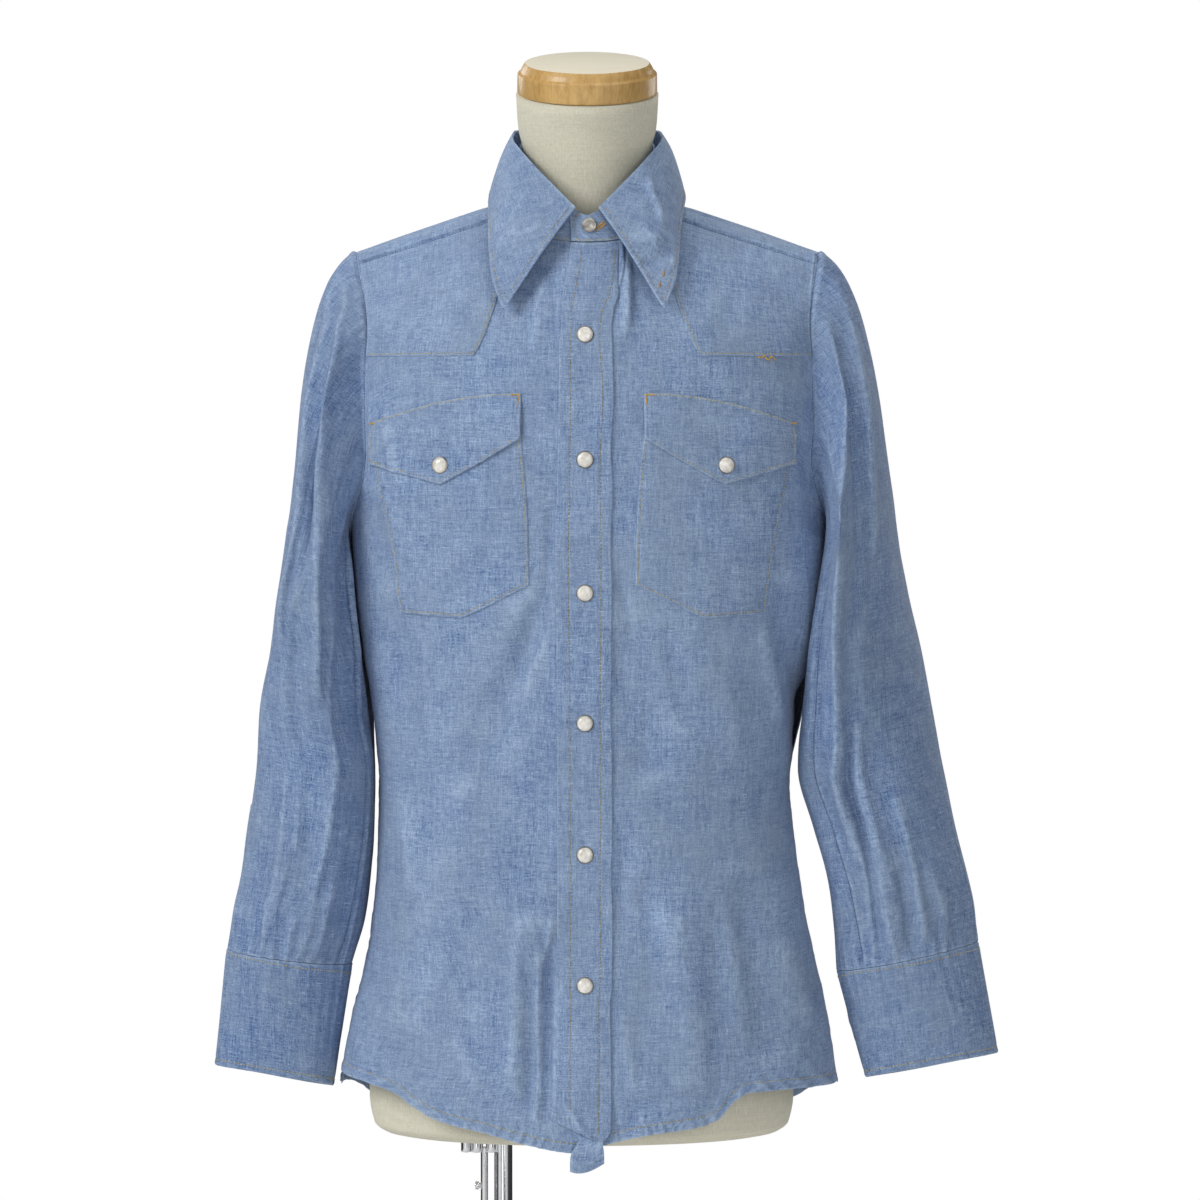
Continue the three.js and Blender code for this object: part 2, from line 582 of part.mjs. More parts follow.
function pocket(side) {
  const inner = through(POCKET.inner, "z");
  const outer = through(POCKET.outer, "z");
  const bottom = through(POCKET.bottom, "x");
  return gridOf(range(6, 0, 1), range(6, 0, 1), (across, up) => {
    const low = bottom(lerp(POCKET.bottom[0].x, POCKET.bottom[2].x, across)).z;
    const z = lerp(low, POCKET.top, up);
    return breast(side, lerp(inner(z).x, outer(z).x, across), z);
  });
}
function flap(side) {
  const columns = FLAP.top.map((_, i) => i);
  return gridOf(columns, range(3, 0, 1), (i, up) => {
    const top = FLAP.top[i];
    const low = FLAP.bottom[i];
    return breast(side, lerp(low.x, top.x, up), lerp(low.z, top.z, up));
  });
}
const FLAP_BELOW = LIFT + CLOTH + LIFT + SEAM; // over the pocket
for (const [name, side] of SIDES) {
  const facing = (grid) => (side < 0 ? mirrored(grid) : grid);
  add(`pocket_${name}`, onTop(facing(pocket(side)), LIFT, CLOTH), CHAMBRAY);
  add(`flap_${name}`, onTop(facing(flap(side)), FLAP_BELOW, DOUBLED), CHAMBRAY);
}

// ---------------------------------------------------------------- sleeves and cuffs

const sleeveTables = { "-1": through(SLEEVE_LEFT, "z"), 1: through(SLEEVE_RIGHT, "z") };

// A point on a sleeve's section at an angle from its outer side; the front is at -90 degrees.
function sectionPoint(side, section, z, angle) {
  const middle = (section.outer + section.inner) / 2;
  const half = (section.outer - section.inner) / 2;
  const depth = (section.front + section.back) / 2;
  const x = middle + half * Math.cos(angle + Math.asin(section.lean));
  const y = (section.back - section.front) / 2 + depth * Math.sin(angle);
  const fall = (section.drop * (middle - x)) / half / 2;
  return vector(side * x, y, z - fall);
}

function sleeveFold(side, angle, z) {
  let height = 0;
  for (const fold of SLEEVE_FOLDS.filter((one) => one.side === side)) {
    const along = (fold.z1 - z) / (fold.z1 - fold.z2);
    if (along <= 0 || along >= 1) continue;
    const beside = SLEEVE.arm * Math.sin(angle - degToRad(fold.angle));
    if (Math.cos(angle - degToRad(fold.angle)) < 0) continue;
    height += fold.height * (1 - (2 * along - 1) ** 4) * Math.exp(-((beside / fold.width) ** 2));
  }
  return height;
}

// The armhole's edge, from the underarm up its front, over the shoulder and down its back.
function armhole(side) {
  const front = side < 0 ? mirrored(frontRight) : frontLeft;
  const backRows = [...backLow, ...backHigh, ...yokeBack];
  const back = backRows.map((row) => (side < 0 ? row[row.length - 1] : row[0]));
  const rising = front.slice(HEM_ROWS.length - 1).map((row) => row[row.length - 1]);
  const meeting = HEM_ROWS.length + backHigh.length - 1;
  const above = (j) => j >= HEM_ROWS.length && j < back.length - 1 && j !== meeting;
  const falling = back.filter((_, j) => above(j)).reverse();
  const angles = [
    ...range(rising.length - 1, -Math.PI, 0),
    ...range(falling.length + 1, 0, Math.PI).slice(1, -1),
  ];
  return [...rising, ...falling].map((point, i) => ({ point, angle: angles[i] }));
}

// The sleeve: level sections from the cuff's seam up, then curves that turn in to the armhole.
function sleeve(side) {
  const table = sleeveTables[side];
  const at = (z, angle) => {
    const point = sectionPoint(side, table(z), z, angle);
    const out = vector(side * Math.cos(angle), Math.sin(angle), 0);
    return point.addScaledVector(out, sleeveFold(side, angle, z));
  };
  const edge = armhole(side);
  const low = range(SLEEVE.sections, SLEEVE.low, SLEEVE.elbow);
  const tube = low.map((z) => edge.map(({ angle }) => at(z, angle)));
  const head = range(SLEEVE.turns, 0, 1).slice(1).map((t) =>
    edge.map(({ point, angle }) => {
      const outness = (1 + Math.cos(angle)) / 2;
      const away = vector(side, 0.45 * Math.sin(angle), 0.2 - 0.4 * outness).normalize();
      const start = point.clone().addScaledVector(away, 2 * SEAM);
      const foot = at(SLEEVE.elbow, angle);
      const upwards = at(SLEEVE.elbow + 10, angle).sub(foot).normalize();
      const rise = start.distanceTo(foot);
      const arriving = away.multiplyScalar(-lerp(SLEEVE.tuck, SLEEVE.cap, outness));
      return hermite(foot, upwards.multiplyScalar(rise), start, arriving, t);
    }),
  );
  return [...tube, ...head];
}

// The cuff: from the sleeve's lower edge to a free edge of its own.
function cuff(side, sleeveEdge) {
  const section = side < 0 ? CUFF_LEFT : CUFF_RIGHT;
  const angles = armhole(side).map(({ angle }) => angle);
  return range(3, 0, 1).map((t) =>
    sleeveEdge.map((point, i) => {
      const free = sectionPoint(side, section, section.z, angles[i]);
      const top = point.clone().addScaledVector(vector(0, 0, -1), SEAM);
      return free.lerp(top, t);
    }),
  );
}

// The sleeve's placket: a strip on the back of the sleeve, up from the cuff.
function sleevePlacket(tube) {
  return tube.slice(0, SLEEVE_PLACKET.rows).map((row) => SLEEVE_PLACKET.columns.map((i) => row[i].clone()));
}

const sleeves = {};
for (const [name, side] of SIDES) {
  const facing = (grid) => (side < 0 ? mirrored(grid) : grid);
  const tube = sleeve(side);
  const band = cuff(side, tube[0]);
  add(`sleeve_${name}`, wall(facing(tube), CLOTH, true), CHAMBRAY);
  add(`cuff_${name}`, wall(facing(band), DOUBLED, true), CHAMBRAY);
  add(`sleeve_placket_${name}`, onTop(facing(sleevePlacket(tube)), LIFT, CLOTH), CHAMBRAY);
  sleeves[name] = { band, facing };
}

// ---------------------------------------------------------------- collar

// The neckline's point at an angle round the neck from the front, and the stand's top above it.
function neckline(angle) {
  const side = angle < 180 ? 1 : -1;
  const round = angle < 180 ? angle : 360 - angle;
  const face = round < 90 ? "front" : "back";
  const share = (NECK_SHARE * (face === "front" ? round : 180 - round)) / 90;
  return topPoint(side, face, share);
}
const standTop = through(STAND_TOP, "angle");

// The collar stand runs from its buttonhole end, which lies outermost, round the neck and back
// under that end.
function collarStand() {
  const angles = range(28, -STAND_ENDS.over, 360 + STAND_ENDS.under);
  return gridOf(angles, range(2, 0, 1), (angle, up) => {
    const turn = (angle + 360) % 360;
    const foot = neckline(turn);
    const { radius, z } = standTop(turn < 180 ? turn : 360 - turn);
    const top = vector(radius * Math.sin(degToRad(turn)), -radius * Math.cos(degToRad(turn)), z);
    const outer = STAND_ENDS.lift * (1 - THREE.MathUtils.smoothstep(angle, 0, STAND_ENDS.settle));
    foot.z += 3 * SEAM;
    const point = foot.lerp(top, up);
    return point.addScaledVector(vector(point.x, point.y, 0).normalize(), outer);
  });
}

// The collar leaf falls from its fold line, a little full, to its free edge.
function collarLeaf() {
  const table = through(LEAF, "t");
  const half = range(14, 0, 1);
  const round = [...half.map((t) => [1, t]), ...[...half].reverse().slice(1).map((t) => [-1, t])];
  return gridOf(round, range(4, 0, 1), ([side, t], up) => {
    const { fx, fy, fz, ex, ey, ez } = table(t);
    const fold = vector(side * fx, fy, fz);
    const edge = vector(side * ex, ey, ez);
    const out = vector(fold.x + edge.x, fold.y + edge.y, 60).normalize();
    return edge.lerp(fold, up).addScaledVector(out, LEAF_FULLNESS * Math.sin(Math.PI * up ** 1.3));
  });
}
const standGrid = collarStand();
add("collar_stand", wall(standGrid, DOUBLED), CHAMBRAY);
add("collar_leaf", wall(collarLeaf(), DOUBLED), CHAMBRAY);

// ---------------------------------------------------------------- snaps and collar button

// A turned piece: a profile of radius and height, about its own axis, standing on a surface.
function turned(profile, sides) {
  const points = profile.map(([radius, height]) => new THREE.Vector2(radius, height));
  return facingOut(new THREE.LatheGeometry(points, sides).rotateX(Math.PI / 2));
}

// Merges a closed geometry's seams and turns its faces outwards.
function facingOut(geometry) {
  const bare = new THREE.BufferGeometry().setAttribute("position", geometry.getAttribute("position"));
  bare.setIndex(geometry.index);
  const merged = mergeVertices(bare, 1e-3);
  const places = merged.getAttribute("position");
  const corner = (i) => vector().fromBufferAttribute(places, merged.index.getX(i));
  let volume = 0;
  for (let i = 0; i < merged.index.count; i += 3) {
    volume += corner(i).dot(corner(i + 1).cross(corner(i + 2)));
  }
  const faces = [];
  for (let i = 0; i < merged.index.count; i += 3) {
    const [a, b, c] = [0, 1, 2].map((step) => merged.index.getX(i + step));
    if (new Set([a, b, c]).size === 3) faces.push(a, ...(volume < 0 ? [c, b] : [b, c]));
  }
  return merged.setIndex(faces);
}

// Sets a turned piece on a surface point, its axis along the surface's normal.
function seat(mesh, { point, normal }, above) {
  mesh.position.copy(point).addScaledVector(normal, above);
  mesh.quaternion.setFromUnitVectors(vector(0, 0, 1), normal);
}
const CAP_PROFILE = [
  [0, SNAP.cap_height],
  [0.55 * SNAP.cap, 0.85 * SNAP.cap_height],
  [SNAP.cap, 0.35 * SNAP.cap_height],
  [SNAP.cap, 0],
  [0, 0],
];
const RIM_PROFILE = [
  [SNAP.cap + SNAP.play, 0],
  [SNAP.rim, 0],
  [SNAP.cap + SNAP.play, SNAP.rim_height],
  [SNAP.cap + SNAP.play, 0],
];
function snap(name, place, above) {
  seat(add(`${name}_rim`, turned(RIM_PROFILE, SNAP.sides), NICKEL), place, above);
  seat(add(`${name}_cap`, turned(CAP_PROFILE, SNAP.sides), PEARL), place, above);
}

// A surface's point and normal, from a function of two coordinates.
function placeOn(surfaceAt, a, b, step) {
  const across = surfaceAt(a + step, b).sub(surfaceAt(a - step, b));
  const up = surfaceAt(a, b + step).sub(surfaceAt(a, b - step));
  return { point: surfaceAt(a, b), normal: across.cross(up).normalize() };
}
const BUTTON_PROFILE = [
  [0, BUTTON.height],
  [BUTTON.face, BUTTON.height],
  [BUTTON.widest, 0.6 * BUTTON.height],
  [BUTTON.foot, 0],
  [0, 0],
];
const ON_PLACKET = LIFT + DOUBLED + SNAP.clear;
const ON_FLAP = FLAP_BELOW + DOUBLED + SNAP.clear;
SNAP_ROW.levels.forEach((level, i) => {
  snap(`snap_front_${i + 1}`, placeOn(frontPoint, SNAP_ROW.x, level, SNAP_ROW.flat), ON_PLACKET);
});
snap("snap_pocket_right", placeOn(frontPoint, -POCKET_SNAP.left, POCKET_SNAP.z, 8), ON_FLAP);
snap("snap_pocket_left", placeOn(frontPoint, POCKET_SNAP.right, POCKET_SNAP.z, 8), ON_FLAP);

// A place in the middle of a grid's cell, with the cell's own normal.
function placeInCell(grid, row, column) {
  const [a, b] = grid[row].slice(column, column + 2);
  const [d, c] = grid[row + 1].slice(column, column + 2);
  const point = a.clone().add(b).add(c).add(d).multiplyScalar(0.25);
  const normal = c.clone().sub(a).cross(d.clone().sub(b)).normalize();
  return { point, normal };
}
const onStand = placeInCell(standGrid, 0, 0);
onStand.point.lerp(standGrid[1][1], 0.4);
seat(add("collar_button", turned(BUTTON_PROFILE, SNAP.sides), NICKEL), onStand, SNAP.clear);
for (const [name, side] of SIDES) {
  const { band, facing } = sleeves[name];
  const columns = band[0].length;
  const column = side < 0 ? columns - 2 - CUFF_SNAPS.column : CUFF_SNAPS.column;
  CUFF_SNAPS.rows.forEach((row, i) => {
    snap(`snap_cuff_${name}_${i + 1}`, placeInCell(facing(band), row, column), SNAP.clear);
  });
}

// ---------------------------------------------------------------- dress form and stand

// A closed solid through level rings, with flat ends.
function loft(rings) {
  const count = rings[0].length;
  const middle = (ring) => ring.reduce((sum, point) => sum.add(point), vector()).divideScalar(count);
  const points = [...rings.flat(), middle(rings[0]), middle(rings.at(-1))];
  const low = rings.length * count;
  const top = low - count;
  const faces = [];
  for (let i = 0; i < count; i += 1) {
    const next = (i + 1) % count;
    for (let j = 0; j < top; j += count) {
      faces.push(j + i, j + next, j + count + next);
      faces.push(j + i, j + count + next, j + count + i);
    }
    faces.push(low, next, i, low + 1, top + i, top + next);
  }
  const geometry = new THREE.BufferGeometry().setFromPoints(points);
  geometry.setIndex(faces);
  return geometry;
}

function formRing({ z, half, front, back }) {
  const tilt = degToRad(NECK_TILT.degrees) * THREE.MathUtils.smoothstep(z, NECK_TILT.from, NECK_TILT.to);
  const middle = (back - front) / 2;
  return range(FORM_SIDES, 0, 2 * Math.PI).slice(1).map((angle) => {
    const y = ((front + back) / 2) * Math.sin(angle);
    return vector(half * Math.cos(angle), middle + y, z + y * Math.tan(tilt));
  });
}
add("form_body", loft(FORM.map(formRing)), LINEN);

const CAP_TOP = CAP.radius - CAP.bevel;
const CAP_DISC = [
  [0, 0],
  [CAP.radius - 1.5, 0],
  [CAP.radius, 0.4 * CAP.height],
  [CAP.radius - 0.5, CAP.height - CAP.bevel],
  [CAP_TOP, CAP.height],
  [0, CAP.height],
];
const neckCap = add("form_neck_cap", turned(CAP_DISC, FORM_SIDES), WOOD);
neckCap.position.set(0, CAP.y, CAP.z);
neckCap.rotation.x = degToRad(CAP.tilt);

function upright(radius, low, high, sides) {
  const round = new THREE.CylinderGeometry(radius, radius, high - low, sides);
  return round.rotateX(Math.PI / 2).translate(0, 0, (high + low) / 2);
}
const pole = upright(POLE.radius, BASE.crown + 2 * SEAM, FORM_BOTTOM - SEAM, POLE.sides);
add("stand_pole", pole, CHROME).position.set(POLE.x, 0, 0);
const rod = upright(ROD.radius, ROD.low, BRACKET.z - BRACKET.height - SEAM, ROD.sides);
add("stand_rod", rod, CHROME).position.set(ROD.x, 0, 0);
const plate = new THREE.BoxGeometry(BRACKET.length, BRACKET.depth, BRACKET.height);
add("stand_bracket", plate, CHROME).position.set(BRACKET.x, 0, BRACKET.z - BRACKET.height / 2);
const knob = new THREE.CylinderGeometry(KNOB.radius, KNOB.radius, KNOB.length, KNOB.sides);
const knobReach = ROD.radius + 2 * SEAM + KNOB.length / 2;
add("stand_knob", knob.rotateZ(Math.PI / 2), CHROME).position.set(ROD.x - knobReach, 0, KNOB.z);
const BASE_DISC = [
  [0, 0],
  [BASE.radius, 0],
  [BASE.radius, BASE.rim],
  [0.5 * BASE.radius, BASE.crown - 2],
  [2 * POLE.radius, BASE.crown],
  [0, BASE.crown],
];
add("stand_base", turned(BASE_DISC, 36), CHROME).position.set(POLE.x, 0, 0);

export default shirt;
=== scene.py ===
"""A chambray western shirt on a limbless dress form: its looks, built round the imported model.

Sizes are in millimetres until a mesh is made. +Z is up, the shirt's front faces -Y, and X = 0 is
its centre line. A side of -1 is the wearer's right, and 1 the wearer's left.
"""

import math

import bpy
import numpy as np
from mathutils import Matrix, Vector


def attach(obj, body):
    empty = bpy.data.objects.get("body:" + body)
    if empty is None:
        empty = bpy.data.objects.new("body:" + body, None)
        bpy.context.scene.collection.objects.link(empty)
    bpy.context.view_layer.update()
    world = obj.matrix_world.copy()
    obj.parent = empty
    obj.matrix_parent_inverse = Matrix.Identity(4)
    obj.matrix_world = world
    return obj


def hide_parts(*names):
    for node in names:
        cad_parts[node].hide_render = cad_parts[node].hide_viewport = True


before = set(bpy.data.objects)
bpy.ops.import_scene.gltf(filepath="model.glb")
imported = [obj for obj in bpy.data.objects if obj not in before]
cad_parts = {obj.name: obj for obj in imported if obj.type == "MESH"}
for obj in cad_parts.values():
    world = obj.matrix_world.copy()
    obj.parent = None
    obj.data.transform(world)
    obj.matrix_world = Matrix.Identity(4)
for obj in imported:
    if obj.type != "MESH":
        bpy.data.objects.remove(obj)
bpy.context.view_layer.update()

# ---------------------------------------------------------------- camera

camera = bpy.data.objects.new("camera", bpy.data.cameras.new("camera"))
bpy.context.scene.collection.objects.link(camera)
camera.data.lens, camera.data.sensor_width, camera.data.clip_end = 160, 36, 50
camera.location = (0.00975, -4.10756, 1.2456)
camera.rotation_euler = (math.radians(90 - 2), 0, 0)  # two degrees down
bpy.context.scene.camera = camera

# ---------------------------------------------------------------- the garment's sizes

NAMES = {-1: "right", 1: "left"}
SIDES = (-1, 1)
THIN = 0.8  # one layer of shirting
FACED = 1.4  # placket, cuff, collar: two layers and their seams
# Levels: below the underarm the body is rings; above the yoke's ring it closes as a dome.
UNDERARM = 1150
YOKE_RING = 1300
DOME = 100
YOKE_TOP = YOKE_RING + DOME
# The armhole's scoop: how high it reaches, and its angle on each face.
SCOOP = {"height": 74, "front": 17, "back": 15}
# The neckline's side, the shoulder's end (x, y, z), and the neckline's middles (y, z).
NECK_POINT = (66, -8, 1403)
SHOULDER_POINT = (176, -13, 1367)
NECK_FRONT = (-78, 1375)
NECK_BACK = (62, 1415)
NECK_SHARE = 0.34  # the neckline's part of a panel's upper edge
PLACKET_TOP = 1398
SNAP_X = -1.5
SNAP_LEVELS = (1306, 1211.3, 1111.3, 1013, 913.3, 815)
TIP_ROUND = 4.5  # the collar points' radius
BESIDE = 3.2  # between a sleeve and the body
# What the heights in the tables are multiplied by.
FOLD_DEPTH = 2.3
CREASE_DEPTH = 2.1
SLEEVE_DEPTH = 1.1
LINE_DEPTH = 1.3
LEAF_DEPTH = 2.7


def table(names, rows):
    """A table as its columns by name; a semicolon ends a row."""
    return dict(zip(names.split(), np.array([row.split() for row in rows.split(";")], float).T))


# The body's rings: half-widths of the wearer's right and left, half-depths, and squareness.
BODY = table(
    "z right left front back power",
    """
    670 196 197 109 119 2.3; 735 190 192 108 117 2.3; 784 181 185 106 112 2.3;
    829 170 175 102 107 2.35; 867 165 167 100 103 2.35; 910 162 161 98 98 2.35;
    960 161 156 98 95 2.35; 1020 166 167 102 97 2.35; 1064 173 176 106 101 2.35;
    1102 178 182 110 106 2.3; 1150 181 186 113 110 2.3; 1218 183 187 114 113 2.25;
    1260 185 188 111 113 2.25; 1300 186 188 104 110 2.2
    """,
)
# The hem's level by the distance from the centre line.
HEM = {
    -1: table(
        "x z", "0 688; 20 690; 54 697; 80 704; 103 709; 119 714; 135 723; 149 731; 168 736; 200 741"
    ),
    1: table("x z", "0 692; 43 702; 85 708; 100 714; 110 725; 123 732; 153 733; 200 732"),
    "back": table("x z", "0 689; 50 692; 100 697; 150 703; 168 712; 186 726; 200 731"),
}

# Folds of the body, from their high end to their low end.
FRONT_FOLDS = table(
    "x1 z1 x2 z2 width height",
    """
    -34 1104 -92 968 15 -3; -31 862 -40 722 9 -3.5; -44 880 -52 730 14 3; 26 1092 54 972 16 -2.5;
    148 1120 168 985 15 -3; 60 880 80 730 18 3.5; 120 900 142 760 16 -3; -110 930 -135 770 20 3;
    -150 1110 -128 930 16 -2.5; 30 1362 27 1300 6 1.8
    """,
)
BACK_FOLDS = table(
    "x1 z1 x2 z2 width height",
    """
    -60 1120 -40 900 18 -5; 52 1150 36 930 16 -4.5; -6 1040 4 800 20 4; -120 1080 -98 860 16 -4;
    118 1060 104 840 18 -4; 84 900 96 730 20 4; -80 880 -92 730 18 3.5
    """,
)
# Finer creases, each placed one by one. A power of 1 has a sharp top, 2 a round one, as have all
# folds of a table that says nothing.
FRONT_CREASES = table(
    "x1 z1 x2 z2 width height power",
    """
    -24 868 -35 826 3.2 3 1; -36.5 846 -37.5 706 2.6 3.4 1; -29.5 850 -30 712 3.2 -1.9 2;
    -45 856 -46 712 5 -2 2; -66 891 -14 890 2.2 -0.9 1; -60 888 -20 886 5 0.6 2;
    -171 796 -171 756 2 -1.6 1; 24 1372 24 1306 2.2 -1.6 1; 28.5 1370 31 1312 2.6 1.3 1;
    34 1366 35 1322 2.4 -1.2 1; -26 1360 -24 1302 3 -0.9 1; -34 1350 -40 1290 5 0.8 2;
    -26 1180 -30 1100 5 -1.2 2; -30 1120 -62 1040 8 -1.4 2; -26 1090 -50 1030 4 0.8 2;
    -70 1030 -100 940 8 1.1 2; 24 1130 36 1060 5 -1.1 2; 28 1100 44 1000 7 1 2;
    60 1090 76 1010 9 -1.3 2; 90 1070 120 960 12 1.2 2; 130 1090 150 1010 8 1.3 2;
    160 1080 172 1010 6 -1.6 2; 30 950 26 850 6 -0.9 2; 44 900 52 800 8 -1.4 2;
    96 880 104 780 10 -1.1 2; 28 800 34 730 6 1 2; 150 850 170 770 9 1.4 2;
    -80 900 -92 800 10 -1.2 2; -60 800 -70 730 8 -1.1 2; -120 860 -134 790 8 -1 2;
    -140 960 -130 880 8 1.2 2; -100 780 -84 736 5 0.9 2; -62 752 -44 726 3 0.8 1;
    -52 738 -74 722 2.6 -0.8 1; -30 742 -52 712 3 0.9 1; 60 742 96 730 4 0.9 1;
    30 722 84 736 3.4 -1 1; -152 1250 -138 1190 5 1.2 2; -168 1190 -150 1120 6 -1.5 2;
    164 1230 176 1150 6 -1.4 2; -100 1330 -84 1296 9 -0.8 2; 110 1334 98 1300 9 -0.8 2
    """,
)
BACK_CREASES = table(
    "x1 z1 x2 z2 width height",
    """
    -18 1232 -22 1120 5 -1.4; 20 1232 26 1110 5 -1.4; -150 1200 -120 1110 8 -1.6;
    152 1200 122 1100 8 -1.6; -70 1060 -52 960 8 1.4; 70 1050 60 940 8 1.3; -30 980 -18 860 8 -1.5;
    26 960 20 850 7 -1.3; -140 980 -126 880 8 1.3; 140 960 128 860 8 1.2; -120 840 -132 750 9 -1.4;
    44 840 56 740 8 -1.3; 128 860 142 760 9 1.3; -60 1372 -80 1300 9 -1.2; 62 1370 84 1304 9 -1.1
    """,
)

# The sleeves' rings: distances of the outer and inner side from the centre line, half-depths,
# the outer side's lean to the back, and how much lower the inner side hangs.
SLEEVES = {
    -1: table(
        "z outer inner front back lean drop",
        """
        828 277 182 46 42 0.1 12; 860 272.5 172 50 44 0.1 8; 887 266.5 168 52 46 0.05 4;
        926 261 164 54 48 0 0; 971 255 162 58 54 0 0; 1017 251 164 64 62 0.2 0;
        1062 243 162 70 74 0.35 0; 1102 238 166 76 80 0.35 0; 1133 233 171 78 84 0.3 0;
        1200 222 182 80 84 0.2 0
        """,
    ),
    1: table(
        "z outer inner front back lean drop",
        """
        830 301 193 40 34 -0.2 21; 860 299 189 44 38 -0.25 12; 887 294 185 47 42 -0.3 6;
        926 285 174 50 46 -0.35 0; 975 275 161.5 54 52 -0.42 0; 1020 267 164 62 62 -0.45 0;
        1062 258 167 70 72 -0.47 0; 1102 249 173 77 79 -0.47 0; 1133 243 178 80 82 -0.45 0;
        1200 229 188 80 84 -0.4 0
        """,
    ),
}
CUFFS = {
    -1: {"outer": 286.5, "inner": 197.5, "front": 31, "back": 29, "lean": 0.05, "z": 735, "drop": 16},
    1: {"outer": 316, "inner": 216, "front": 27, "back": 22, "lean": -0.15, "z": 743, "drop": 19},
}
SLEEVE_LOW = 828  # where the sleeve meets its cuff
ELBOW = 1120  # where its rings end and its head begins
# How strongly the head leaves the armhole, over the shoulder and under the arm.
CAP_PULL = 145
TUCK_PULL = 12
ARM = 55  # the sleeve's mean radius
WRIST = 34  # the cuff's
CUFF_DEEP = 84

# Folds along a sleeve: at an angle from its outer side (front is -90), between two heights; turn is
# how far the fold wanders round the sleeve from its high end to its low end.
SLEEVE_FOLDS = {
    -1: table(
        "angle turn z1 z2 width height",
        """
        -62 0 1330 1180 16 3.5; -30 0 1320 1160 14 -3; -66 0 1100 860 18 -2.6;
        -34 0 1060 850 18 2.2; -122 0 1000 840 16 2; 70 0 1240 1000 20 -5; 100 0 1050 850 18 4;
        45 0 1020 860 16 -3; -96 8 1340 1210 7 -2.2; -50 4 1345 1230 6 1.6; -80 -6 1290 1150 8 1.8;
        -104 10 1230 1090 9 -2; -60 -10 1130 1010 9 1.6; -82 3 1040 850 7 1.1; -54 3 980 838 6 -1.2;
        -98 -3 950 836 5 -1.3; -72 2 900 832 4 1.2; -40 -3 890 832 4 -1.2; -28 3 930 834 6 1.1;
        -110 2 880 830 4 1.1; -88 2 872 829 3.5 -1.3; -64 -3 868 829 3.5 -1.2;
        -130 -6 960 850 8 -1.6; 60 8 900 832 6 -1.8; 84 -6 890 832 5 1.6; 118 5 940 836 7 -1.8;
        30 6 1180 1020 10 1.8
        """,
    ),
    1: table(
        "angle turn z1 z2 width height",
        """
        -100 0 1290 960 14 4; -55 0 1250 1050 20 -4; -40 0 1010 850 18 3; -120 0 1000 830 14 -4;
        80 0 1230 980 20 -5; 60 0 1000 850 18 4; 115 0 1060 870 16 -3; -82 -14 1345 1220 6 2;
        -60 -18 1340 1240 7 -2; -100 6 1200 1060 7 2.2; -86 8 1150 1010 9 -1.8;
        -64 -12 1110 990 9 1.6; -104 10 1040 860 6 2.4; -92 8 1010 870 6 -1.6; -62 6 960 840 7 -1.4;
        -78 -5 920 834 5 1.3; -48 6 900 834 6 1.6; -34 -4 880 832 5 -1.6; -92 2 874 830 3.6 1.5;
        -70 4 866 830 3.4 -1.2; -118 -4 930 840 6 1.8; 60 8 900 836 6 -1.8; 90 -6 890 836 5 1.6;
        118 5 940 840 7 -1.8; 30 6 1180 1020 10 1.8
        """,
    ),
}

# The sleeves' strongest ridges and troughs: width, height, how much narrower the side towards the
# body is, then the places (height, angle) that each one runs through.
SLEEVE_LINES = {
    -1: (
        (9, 5.5, 0.4, (1354, -9), (1313, -36), (1263, -45), (1219, -57), (1150, -62), (1060, -60)),
        (9, 6.5, 0.4, (1359, -12), (1326, -42), (1279, -69), (1221, -87), (1172, -99), (1100, -106),
         (1020, -108)),
        (10, -4.5, 1, (1330, -62), (1263, -92), (1231, -104), (1185, -122), (1134, -140), (1060, -140)),
        (9, -4, 1, (1345, -26), (1300, -52), (1240, -66), (1180, -78), (1120, -84)),
        (9, -3.2, 1, (1110, -84), (1028, -82), (960, -86), (900, -90), (860, -92)),
        (8, 2.6, 0.5, (1105, -124), (982, -112), (913, -106), (850, -102)),
        (5, 1.6, 0.5, (980, -62), (900, -66), (836, -70)),
        (4, -1.8, 1, (920, -78), (866, -81), (832, -83)),
        (4, 2, 1, (890, -118), (860, -120), (830, -122)),
        (7, 3.5, 0.6, (1240, 60), (1160, 76), (1060, 88)),
    ),
    1: (
        (8, 6, 0.4, (1320, -50), (1306, -60), (1277, -72), (1252, -78), (1224, -92), (1170, -104),
         (1116, -100), (1060, -95), (993, -94), (940, -102), (900, -106)),
        (9, 4.5, 0.5, (1351, -18), (1332, -27), (1295, -36), (1277, -39), (1200, -46), (1130, -50)),
        (9, -4.5, 1, (1300, -78), (1240, -98), (1170, -122), (1110, -122), (1040, -116), (980, -114)),
        (9, -4, 1, (1330, -40), (1290, -54), (1230, -66), (1150, -74), (1080, -72)),
        (5, -4, 0.5, (1030, -88), (997, -84), (912, -93), (860, -101), (829, -101)),
        (6, 3, 1, (1010, -76), (940, -80), (880, -88), (835, -92)),
        (6, 3, 0.5, (960, -56), (900, -60), (836, -66)),
        (5, -3, 1, (900, -70), (866, -74), (832, -78)),
        (7, 3.5, 0.6, (1240, 60), (1160, 76), (1060, 88)),
    ),
}

